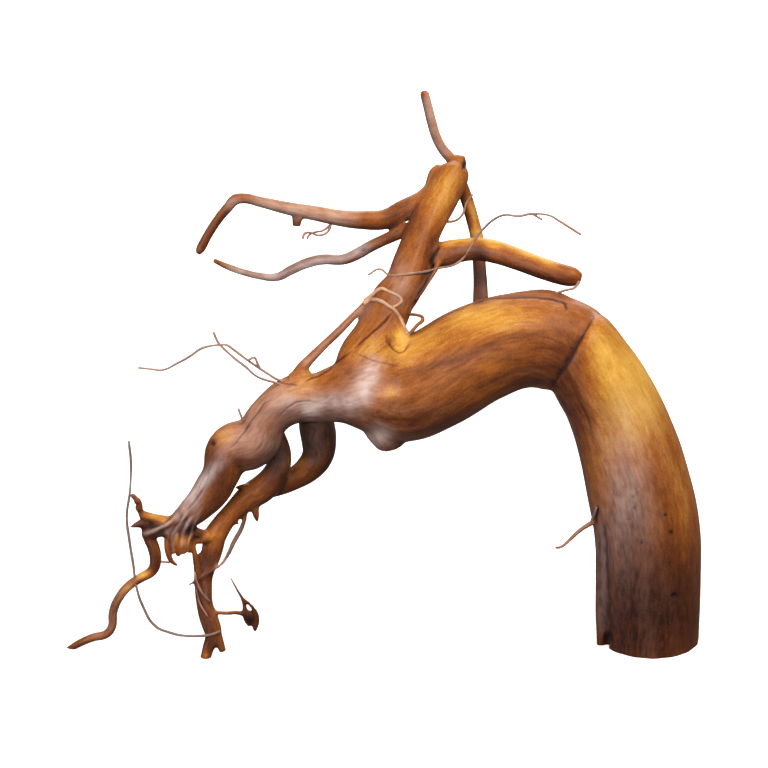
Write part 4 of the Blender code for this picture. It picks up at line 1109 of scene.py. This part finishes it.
@dataclass
class Body:
    """All the wood that is thicker than a hair, grown together and parted into four closed pieces."""

    sight: Sight
    limbs: tuple[Route, ...]
    marks: tuple[Mark, ...]
    spots: tuple[Spot, ...]
    fold_point: tuple[float, float, float] = (54.9, 8.8, 0.0)
    fold_normal: Flat = (-0.87, 0.5)
    fold_side: float = 30.0
    neck: float = -21.0
    border_rounds: int = 12
    voxel: float = 0.375
    quick_voxels: int = 2
    rings: int = 6
    sides: int = 6
    fillet_rounds: int = 30
    quick_rounds: int = 7
    fillet_share: float = 0.5
    least_fillet: float = 0.12
    thin: float = 1.4
    thick: float = 5.0
    streaks: Streaks = Streaks((0.5, 1.1, 3.2), (2.2, 6.0, 15.0), 0.7)
    coarse_relief: float = 0.022
    middle_relief: float = 0.008
    fine_relief: float = 0.006
    full_relief: float = 7.0
    least_relief: float = 0.2
    facing_gain: float = 3.0
    sway: float = 0.35
    sway_size: float = 2.5
    narrow_hollow: tuple[int, float] = (4, 0.05)
    wide_hollow: tuple[int, float] = (40, 0.35)
    narrow_share: float = 0.5
    gold: float = 0.30
    # Painted light on faces turned up and to the right.
    painted_light_above: float = 0.16
    painted_light_right: float = 0.10
    gold_streaks: float = 0.016
    # Painted shade in hollows and on faces turned down.
    painted_shade_hollows: float = 0.42
    painted_shade_below: float = 0.10
    ash_streaks: float = 0.02
    rim_depth: float = 0.8
    pieces: list[bpy.types.Object] = field(default_factory=list)

    def fold_plane(self) -> tuple[Vector, Vector]:
        """Finds the plane where the trunk folds over into the arch.

        Returns:
            A point of the plane, and its normal away from the trunk.
        """
        point, _ = self.sight.place(*self.fold_point)
        right, up = self.fold_normal
        tilt = self.sight.tilt
        return point, Vector((right, up * math.sin(tilt), up * math.cos(tilt)))

    def grow(self) -> bpy.types.Object:
        """Grows all limbs and joins them in one skin.

        Returns:
            The body before it is shaped.
        """
        solids = []
        for route in self.limbs:
            solid = route.grow(self.sight, self.rings, self.sides)
            if route.name == "trunk":
                cut(solid, *self.fold_plane())
            solids.append(solid)
        select_only(solids)
        bpy.ops.object.join()
        body = bpy.context.object
        bpy.ops.object.modifier_add(type="REMESH")
        skin = body.modifiers[-1]
        skin.mode = "VOXEL"
        skin.voxel_size = 1 * self.voxel * MM
        bpy.ops.object.modifier_apply(modifier=skin.name)
        return body

    def shape(self, body: bpy.types.Object) -> None:
        """Rounds the forks, raises the grain, sinks cracks and creases, and keeps the tones.

        Args:
            body: The grown body, whose mesh is changed.
        """
        skin = Skin(body)
        lines = [route.line(self.sight) for route in self.limbs]
        owner, radius = owners(lines, skin.points)
        thickness = np.clip((radius - self.thin) / (self.thick - self.thin), self.least_fillet, 1)
        rounds = self.fillet_rounds
        skin.points = skin.relaxed(rounds, self.fillet_share * thickness[:, None])
        skin.write()
        layers = Flow(lines, skin.points).drawn_out(skin.points, self.streaks)
        tones = self.carve(skin)
        skin.write()
        hollow = self.hollows(skin)
        fine, middle, coarse = layers
        relief = self.coarse_relief * coarse + self.middle_relief * middle + self.fine_relief * fine
        relief *= np.clip(radius / self.full_relief, self.least_relief, 1)
        skin.points += skin.normals * relief[:, None]
        skin.write()
        self.tint(skin, layers, tones, hollow)
        self.part(body, skin, owner)

    def carve(self, skin: Skin) -> np.ndarray:
        """Sinks the marks and spots into the viewing side.

        Args:
            skin: The skin, whose points are moved.

        Returns:
            A column for each kind of tone, in the order of Kind.
        """
        facing = np.clip(skin.normals @ self.sight.to_viewer() * self.facing_gain, 0, 1)
        flat = self.sight.flatten(skin.points)
        sway = Speckle(self.sway_size, SWAY_SEED).at(skin.points) - MIDDLE
        swayed = flat + np.stack([sway, -sway], axis=1) * self.sway
        tones = np.zeros((len(flat), len(Kind)))
        sunk = np.zeros(len(flat))
        for mark in self.marks:
            share = mark.share(swayed)
            sunk = np.maximum(sunk, mark.depth * share)
            tones[:, mark.kind.value] += mark.amount * share * facing
        raised = np.zeros(len(flat))
        for spot in self.spots:
            ratios = (flat - (spot.right, spot.up)) / (spot.wide, spot.high)
            share = np.exp(-(ratios**2).sum(1))
            raised += spot.raised * share
            tones[:, spot.kind.value] += spot.amount * share * facing
        skin.points += skin.normals * ((raised - sunk) * facing)[:, None]
        return tones

    def hollows(self, skin: Skin) -> np.ndarray:
        """Finds narrow and wide hollows, each by rounds of smoothing and the depth that counts as full.

        Args:
            skin: The skin.

        Returns:
            How deep each point lies in one, from 0 to 1.
        """
        narrow, wide = [
            ((skin.relaxed(rounds) - skin.points) * skin.normals).sum(1) / depth
            for rounds, depth in (self.narrow_hollow, self.wide_hollow)
        ]
        return np.clip(np.maximum(narrow * self.narrow_share, wide), 0, 1)

    def tint(self, skin: Skin, layers: list[np.ndarray], tones: np.ndarray, hollow: np.ndarray) -> None:
        """Keeps the streaks and tones as colour attributes, with painted light on faces turned up and to the
        right, and painted shade in hollows and on faces turned down.

        Args:
            skin: The skin.
            layers: Fine, middle and coarse streaks.
            tones: What marks and spots add to each tone.
            hollow: How deep each point lies.
        """
        skin.store(GRAIN, [MIDDLE + GRAIN_SPREAD * layer for layer in layers])
        coarse = layers[-1]
        gold, dark, ash = tones.T
        right, _, up = skin.normals.T
        # Painted light: gold on faces turned up and to the right.
        lit = self.painted_light_above * up + self.painted_light_right * right
        gold = self.gold + lit + self.gold_streaks * coarse + gold
        # Painted shade: darker in hollows and on faces turned down.
        dark = self.painted_shade_hollows * hollow + dark + self.painted_shade_below * np.clip(-up, 0, 1)
        # Pale grey: ashen tone, with painted sheen from the marks and spots.
        ash = self.ash_streaks * coarse + ash
        skin.store(TONE, [gold, dark, ASH_SHARE * ash])

    def labels(self, skin: Skin, owner: np.ndarray) -> np.ndarray:
        """Finds which part each point belongs to.

        Args:
            skin: The body's skin.
            owner: The limb that each point belongs to.

        Returns:
            The number of each point's part, with smooth borders.
        """
        labels = np.array([Part.of(route.name).value for route in self.limbs])[owner]
        trunk, arch, roots = Part.TRUNK.value, Part.ARCH.value, Part.ROOTS.value
        point, normal = self.fold_plane()
        beyond = (skin.points - np.array(point) / MM) @ np.array(normal) > 0
        right = skin.points[:, 0]
        near_fold = np.isin(labels, (trunk, arch)) & (right > self.fold_side)
        labels[near_fold] = np.where(beyond[near_fold], arch, trunk)
        labels[(labels == arch) & (right < self.neck)] = roots
        shares = np.eye(len(Part))[labels]
        for _ in range(self.border_rounds):
            shares = skin.averaged(shares)
        return shares.argmax(1)

    def part(self, body: bpy.types.Object, skin: Skin, owner: np.ndarray) -> None:
        """Cuts the feet flat and parts the body into closed pieces that meet with no seam.

        Args:
            body: The shaped body.
            skin: Its skin.
            owner: The limb that each point belongs to.
        """
        mesh = body.data
        layer = mesh.attributes.new("label", "INT", "POINT")
        layer.data.foreach_set("value", self.labels(skin, owner).astype(np.int32))
        layer = mesh.attributes.new("whole_normal", "FLOAT_VECTOR", "POINT")
        layer.data.foreach_set("vector", skin.normals.ravel())
        cut(body, Vector((0, 0, 0)), Vector((0, 0, -1)))
        labels = read(mesh.attributes["label"].data, "value")
        corners = labels[read(mesh.loops, "vertex_index")]
        face_labels = np.minimum.reduceat(corners, read(mesh.polygons, "loop_start"))
        mesh.materials.clear()
        for part in Part:
            mesh.materials.append(bpy.data.materials.new(part.name.lower()))
        mesh.polygons.foreach_set("material_index", face_labels)
        with editing(body):
            bpy.ops.mesh.separate(type="MATERIAL")
        for piece in list(bpy.context.selected_objects):
            index = piece.data.polygons[0].material_index
            piece.name = NODE + "_" + piece.material_slots[index].name
            self.close(piece)
            self.pieces.append(piece)
        self.pieces.sort(key=lambda piece: piece.name)

    def close(self, piece: bpy.types.Object) -> None:
        """Closes a parted piece and gives it the whole body's normals.

        Args:
            piece: The piece, with open rims where its neighbours were.
        """
        with editing(piece, "DESELECT"):
            bpy.ops.mesh.select_mode(type="EDGE")
            bpy.ops.mesh.select_non_manifold(
                use_wire=False, use_multi_face=False, use_non_contiguous=False, use_verts=False
            )
            bpy.ops.mesh.extrude_edges_move()
        mesh = piece.data
        inward = self.rim_depth * MM
        for vertex, normal in zip(mesh.vertices, mesh.attributes["whole_normal"].data):
            if vertex.select:
                vertex.co = vertex.co - inward * normal.vector
            vertex.co.z = max(vertex.co.z, 0.0)
        with editing(piece):
            bpy.ops.mesh.fill_holes(sides=0)
        bpy.ops.object.shade_smooth()
        normals = read(mesh.attributes["whole_normal"].data, "vector", 3, float)
        mesh.normals_split_custom_set_from_vertices(normals.tolist())
        for name in ("whole_normal", "label"):
            mesh.attributes.remove(mesh.attributes[name])
        mesh.materials.clear()

    def build(self, finish: "WoodFinish") -> None:
        """Grows, shapes, parts and dresses the body.

        Args:
            finish: The wood's finish.
        """
        body = self.grow()
        self.shape(body)
        for piece in self.pieces:
            dress(piece, finish)


def dress(piece: bpy.types.Object, finish: "WoodFinish") -> None:
    """Gives a piece its finish and says what it rides on and stands for.

    Args:
        piece: The piece.
        finish: The wood's finish.
    """
    piece.data.materials.clear()
    piece.data.materials.append(finish.material())
    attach(piece, BODY)
    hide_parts(NODE)
    LOG.info("%s: %d faces", piece.name, len(piece.data.polygons))


@dataclass
class Hairs:
    """The hairs, too thin for the body's skin: closed strands with their roots in the wood."""

    sight: Sight
    routes: tuple[Route, ...]
    steps: int = 8
    sides: int = 2
    streaks: Streaks = Streaks((0.4, 1.2), (3.0, 4.0), 0.5)
    knob_size: float = 1.6
    relief: float = 0.05
    knob_relief: float = 2.0
    streak_relief: float = 0.5
    # Painted light on faces turned up.
    painted_light_above: float = 0.2
    gold_knobs: float = 0.4
    # Painted shade on faces turned down.
    painted_shade_below: float = 0.2

    def build(self, finish: "WoodFinish") -> None:
        """Grows the hairs as one piece and dresses it.

        Args:
            finish: The wood's finish.
        """
        strands = [route.grow(self.sight, self.steps, self.sides) for route in self.routes]
        select_only(strands)
        bpy.ops.object.join()
        piece = bpy.context.object
        piece.name = NODE + "_hairs"
        bpy.ops.object.shade_smooth()
        skin = Skin(piece)
        lines = [route.line(self.sight) for route in self.routes]
        fine, middle = Flow(lines, skin.points).drawn_out(skin.points, self.streaks)
        knobs = Speckle(self.knob_size, KNOB_SEED).at(skin.points) - MIDDLE
        relief = self.relief * (self.knob_relief * knobs + self.streak_relief * middle)
        skin.points += skin.normals * relief[:, None]
        skin.points[:, 2] = np.maximum(skin.points[:, 2], 0)
        skin.write()
        skin.store(GRAIN, [MIDDLE + GRAIN_SPREAD * fine, MIDDLE + GRAIN_SPREAD * middle, MIDDLE + knobs])
        owner, _ = owners(lines, skin.points)
        gold, dark, ash = np.array([route.tone for route in self.routes])[owner].T
        up = skin.normals[:, 2]
        # Painted light above and painted shade below.
        gold = gold + self.painted_light_above * up + self.gold_knobs * knobs
        dark = dark + self.painted_shade_below * np.clip(-up, 0, 1)
        skin.store(TONE, [gold, dark, ASH_SHARE * ash])
        dress(piece, finish)


class Signal:
    """A value in a shader that Python's operators work on."""

    def __init__(self, shader: "Shader", output: bpy.types.NodeSocket) -> None:
        """Wraps an output socket of a shader."""
        self.shader = shader
        self.output = output

    def maths(self, operation: str, first: "Signal | float", second: "Signal | float") -> "Signal":
        """Adds one Math node.

        Args:
            operation: The Math node's operation.
            first: Its first value.
            second: Its second value.

        Returns:
            The result.
        """
        return self.shader.node("ShaderNodeMath", {"operation": operation}, {0: first, 1: second})

    def __add__(self, other: "Signal | float") -> "Signal":
        """The sum."""
        return self.maths("ADD", self, other)

    __radd__ = __add__

    def __sub__(self, other: "Signal | float") -> "Signal":
        """The difference."""
        return self.maths("SUBTRACT", self, other)

    def __rsub__(self, other: float) -> "Signal":
        """The difference, taken from a number."""
        return self.maths("SUBTRACT", other, self)

    def __mul__(self, other: "Signal | float") -> "Signal":
        """The product."""
        return self.maths("MULTIPLY", self, other)

    __rmul__ = __mul__

    def beside(self, share: float) -> "Signal":
        """A share of how far the value is from the middle."""
        return (self - MIDDLE) * share

    def clamped(self) -> "Signal":
        """The value kept between 0 and 1."""
        return self.maths("MINIMUM", self.maths("MAXIMUM", self, 0.0), 1.0)


class Shader:
    """The nodes of one material."""

    def __init__(self, name: str) -> None:
        """Makes a material with only its main shader.

        Args:
            name: The material's name.
        """
        self.material = bpy.data.materials.new(name)
        self.material.use_nodes = True
        self.nodes = self.material.node_tree.nodes
        self.links = self.material.node_tree.links
        self.surface = self.nodes["Principled BSDF"]

    def node(
        self, kind: str, settings: dict[str, object], inputs: dict[int | str, object], output: int | str = 0
    ) -> Signal:
        """Adds one node.

        Args:
            kind: The node's type.
            settings: Its settings, with a ramp's stops under "stops".
            inputs: Values or signals for its sockets.
            output: Which output to give back.

        Returns:
            That output.
        """
        made = self.nodes.new(kind)
        for name, value in settings.items():
            if name == "stops":
                self.stops(made.color_ramp, value)
            else:
                setattr(made, name, value)
        for name, value in inputs.items():
            if isinstance(value, Signal):
                self.links.new(value.output, made.inputs[name])
            else:
                made.inputs[name].default_value = value
        return Signal(self, made.outputs[output])

    def stops(self, ramp: bpy.types.ColorRamp, stops: Sequence[tuple[float, tuple[float, ...]]]) -> None:
        """Sets a ramp's stops.

        Args:
            ramp: The ramp, which starts with two stops.
            stops: A place and a colour for each.
        """
        while len(ramp.elements) < len(stops):
            ramp.elements.new(MIDDLE)
        for element, (place, colour) in zip(ramp.elements, stops):
            element.position = place
            element.color = (*colour, 1.0)

    def attribute(self, name: str) -> list[Signal]:
        """Reads a colour attribute.

        Args:
            name: The attribute's name.

        Returns:
            Its three values.
        """
        colour = self.node("ShaderNodeAttribute", {"attribute_name": name}, {}, "Color")
        parts = self.nodes.new("ShaderNodeSeparateColor")
        self.links.new(colour.output, parts.inputs[0])
        return [Signal(self, output) for output in parts.outputs]

    def mixed(self, share: Signal | float, first: object, second: object) -> Signal:
        """Mixes two colours.

        Args:
            share: How much of the second.
            first: A colour or a signal.
            second: A colour or a signal.

        Returns:
            The mixed colour.
        """
        return self.node("ShaderNodeMix", {"data_type": "RGBA"}, {0: share, 6: first, 7: second}, 2)

    def feed(self, name: str, signal: Signal) -> None:
        """Links a signal to a socket of the main shader."""
        self.links.new(signal.output, self.surface.inputs[name])

    def set(self, values: dict[str, object]) -> None:
        """Gives sockets of the main shader fixed values."""
        for name, value in values.items():
            self.surface.inputs[name].default_value = value


@dataclass(frozen=True)
class Noise:
    """A noise in the wood: how fine and how rough it is, and its share in the colour."""

    scale: float
    detail: float
    share: float

    def grown(self, shader: Shader, place: Signal) -> Signal:
        """The noise in a material's nodes."""
        inputs = {"Vector": place, "Scale": self.scale, "Detail": self.detail}
        return shader.node("ShaderNodeTexNoise", {}, inputs)


@dataclass(frozen=True)
class WoodFinish:
    """Bare red-brown root wood: streaked grain, golden places with painted warm highlight, ashen grey with
    painted sheen, dark places partly painted as shade, and a satin gloss.
    """

    name: str = "bare_root_wood"
    stops: tuple[tuple[float, tuple[float, float, float]], ...] = (
        (0.0, (0.034, 0.009, 0.006)),
        (0.25, (0.145, 0.039, 0.011)),
        (0.5, (0.32, 0.098, 0.016)),
        (0.75, (0.53, 0.252, 0.038)),
        (1.0, (0.73, 0.43, 0.085)),
    )
    # Pale grey of ashen wood, also the outer part of the painted sheens.
    ash: Colour = (0.58, 0.44, 0.39, 1.0)
    # Painted sheen: the pale core of the highlights.
    sheen: Colour = (0.46, 0.39, 0.39, 1.0)
    # Colour of the dark places: the cracks' own dark and painted shade.
    crack_and_shade: Colour = (0.022, 0.008, 0.005, 1.0)
    pores: Noise = Noise(1900.0, 4.0, 0.30)
    cloud: Noise = Noise(60.0, 2.0, 0.12)
    mottle: Noise = Noise(260.0, 2.0, 0.13)
    fine_share: float = 0.20
    middle_share: float = 0.06
    dark_share: float = 0.5
    # How strong the pale grey is, and from what level it turns to painted sheen.
    ash_and_sheen_level: float = 1.6
    ash_and_sheen_level_streaks: float = 1.2
    ash_and_sheen_level_mottle: float = 2.0
    sheen_from: float = 0.75
    gloss: float = 0.16
    roughness: float = 0.40
    rough_streaks: float = 0.25
    rough_dark: float = 0.3
    rough_pores: float = 0.1
    bump_streaks: float = 0.8
    bump_strength: float = 0.35
    bump_distance: float = 0.00012

    def material(self) -> bpy.types.Material:
        """Makes the wood's material, or finds it if it is there.

        Returns:
            The material.
        """
        made = bpy.data.materials.get(self.name)
        if made:
            return made
        shader = Shader(self.name)
        place = shader.node("ShaderNodeTexCoord", {}, {}, "Object")
        fine, middle, _ = shader.attribute(GRAIN)
        gold, dark, ash = shader.attribute(TONE)
        noises = (self.pores, self.cloud, self.mottle)
        pores, cloud, mottle = [noise.grown(shader, place) for noise in noises]
        streaks = middle.beside(self.middle_share) + fine.beside(self.fine_share)
        grain = streaks + pores.beside(self.pores.share)
        patches = cloud.beside(self.cloud.share) + mottle.beside(self.mottle.share)
        value = gold + grain + patches - dark * self.dark_share
        wood = shader.node("ShaderNodeValToRGB", {"stops": self.stops}, {0: value}, "Color")
        # Pale grey level: ashen wood, and painted sheen where it is strong.
        ash_and_sheen_level = ash * (self.ash_and_sheen_level + fine.beside(self.ash_and_sheen_level_streaks) + mottle.beside(self.ash_and_sheen_level_mottle))
        wood = shader.mixed(ash_and_sheen_level.clamped(), wood, self.ash)
        wood = shader.mixed((ash_and_sheen_level - self.sheen_from).clamped(), wood, self.sheen)
        # Mixes towards that colour where the dark tone is strong: painted shade in hollows, creases and
        # undersides, and dark cracks.
        wood = shader.mixed((dark * self.dark_share).clamped(), wood, self.crack_and_shade)
        shader.feed("Base Color", wood)
        rough = self.roughness + fine.beside(self.rough_streaks) + dark * self.rough_dark
        shader.feed("Roughness", rough + pores.beside(self.rough_pores))
        height = pores + fine * self.bump_streaks
        bump = {"Height": height, "Strength": self.bump_strength, "Distance": self.bump_distance}
        shader.feed("Normal", shader.node("ShaderNodeBump", {}, bump))
        shader.set({"Specular IOR Level": self.gloss})
        return shader.material


@dataclass(frozen=True)
class Lamp:
    """A soft square light."""

    name: str
    place: tuple[float, float, float]
    side: float
    power: float
    colour: tuple[float, float, float]

    def hang(self, aim: Vector) -> None:
        """Hangs the lamp.

        Args:
            aim: The point that it is turned to.
        """
        bpy.ops.object.light_add(type="AREA", location=self.place)
        lamp = bpy.context.object
        lamp.name = self.name
        lamp.data.size = self.side
        lamp.data.energy = self.power
        lamp.data.color = self.colour
        lamp.rotation_euler = (aim - Vector(self.place)).to_track_quat("-Z", "Y").to_euler()


@dataclass(frozen=True)
class Studio:
    """The pale floor, the soft light and the camera at the viewing side."""

    sight: Sight
    lamps: tuple[Lamp, ...] = (
        Lamp("warm_lamp", (0.25, -0.30, 0.60), 0.35, 4.4, (1.0, 0.90, 0.76)),
        Lamp("cool_lamp", (-0.45, -0.55, 0.25), 0.40, 5.0, (0.90, 0.92, 1.0)),
        Lamp("back_lamp", (0.1, 0.6, 0.5), 0.6, 4.5, (1.0, 0.97, 0.94)),
    )
    black: Colour = (0.0, 0.0, 0.0, 1.0)
    white: Colour = (1.0, 1.0, 1.0, 1.0)
    floor_side: float = 12.0
    floor_colour: Colour = (0.93, 0.93, 0.93, 1.0)
    floor_roughness: float = 0.9
    floor_gloss: float = 0.1
    near_glow: float = 0.45
    glow_rise: float = 1.2
    aim_right: float = 0.1
    view_width: float = 224.56
    sensor: float = 36.0
    near_clip: float = 0.01
    ambient: float = 0.20
    backdrop: float = 1.0

    def aim(self) -> Vector:
        """The point that the camera looks at."""
        return Vector((self.aim_right, self.sight.shift_back, self.sight.aim_height)) * MM

    def lay_floor(self) -> None:
        """Lays the floor, which is no part of the object."""
        deselect_all()
        bpy.ops.mesh.primitive_plane_add(size=self.floor_side)
        floor = bpy.context.object
        floor.name = "floor"
        shader = Shader("floor")
        shader.set({"Base Color": self.floor_colour, "Roughness": self.floor_roughness})
        shader.set({"Specular IOR Level": self.floor_gloss, "Emission Strength": 1.0})
        place = shader.node("ShaderNodeTexCoord", {}, {}, "Object")
        away = shader.node("ShaderNodeVectorMath", {"operation": "LENGTH"}, {0: place}, "Value")
        glow = (self.near_glow + away * self.glow_rise).clamped()
        shader.feed("Emission Color", shader.mixed(glow, self.black, self.white))
        floor.data.materials.append(shader.material)
        floor.visible_diffuse = False
        floor.visible_glossy = False

    def light(self) -> None:
        """Hangs the lamps and sets the world's pale light."""
        for lamp in self.lamps:
            lamp.hang(self.aim())
        world = bpy.context.scene.world or bpy.data.worlds.new("studio")
        bpy.context.scene.world = world
        world.use_nodes = True
        tree = world.node_tree
        sky = tree.nodes["Background"]
        sky.inputs["Color"].default_value = self.white
        path = tree.nodes.new("ShaderNodeLightPath")
        strength = tree.nodes.new("ShaderNodeMix")
        strength.inputs["A"].default_value = self.ambient
        strength.inputs["B"].default_value = self.backdrop
        tree.links.new(path.outputs["Is Camera Ray"], strength.inputs["Factor"])
        tree.links.new(strength.outputs["Result"], sky.inputs["Strength"])
        bpy.context.scene.view_settings.view_transform = "Standard"

    def point_camera(self) -> None:
        """Sets the camera where the photograph's was."""
        tilt, distance = self.sight.tilt, self.sight.distance * MM
        away = Vector((0, -math.cos(tilt), math.sin(tilt))) * distance
        bpy.ops.object.camera_add(location=self.aim() + away)
        camera = bpy.context.object
        camera.rotation_euler = (-away).to_track_quat("-Z", "Y").to_euler()
        camera.data.sensor_width = self.sensor
        camera.data.lens = self.sensor * self.sight.distance / self.view_width
        camera.data.clip_start = self.near_clip
        bpy.context.scene.camera = camera

    def build(self) -> None:
        """Lays the floor, lights it and points the camera."""
        self.lay_floor()
        self.light()
        self.point_camera()


def main() -> None:
    """Builds the wood and the studio."""
    logging.basicConfig(level=logging.INFO, format="%(message)s")
    sight = Sight()
    finish = WoodFinish()
    Body(sight, LIMBS, MARKS, SPOTS).build(finish)
    Hairs(sight, HAIRS).build(finish)
    Studio(sight).build()


if __name__ == "__main__":
    main()
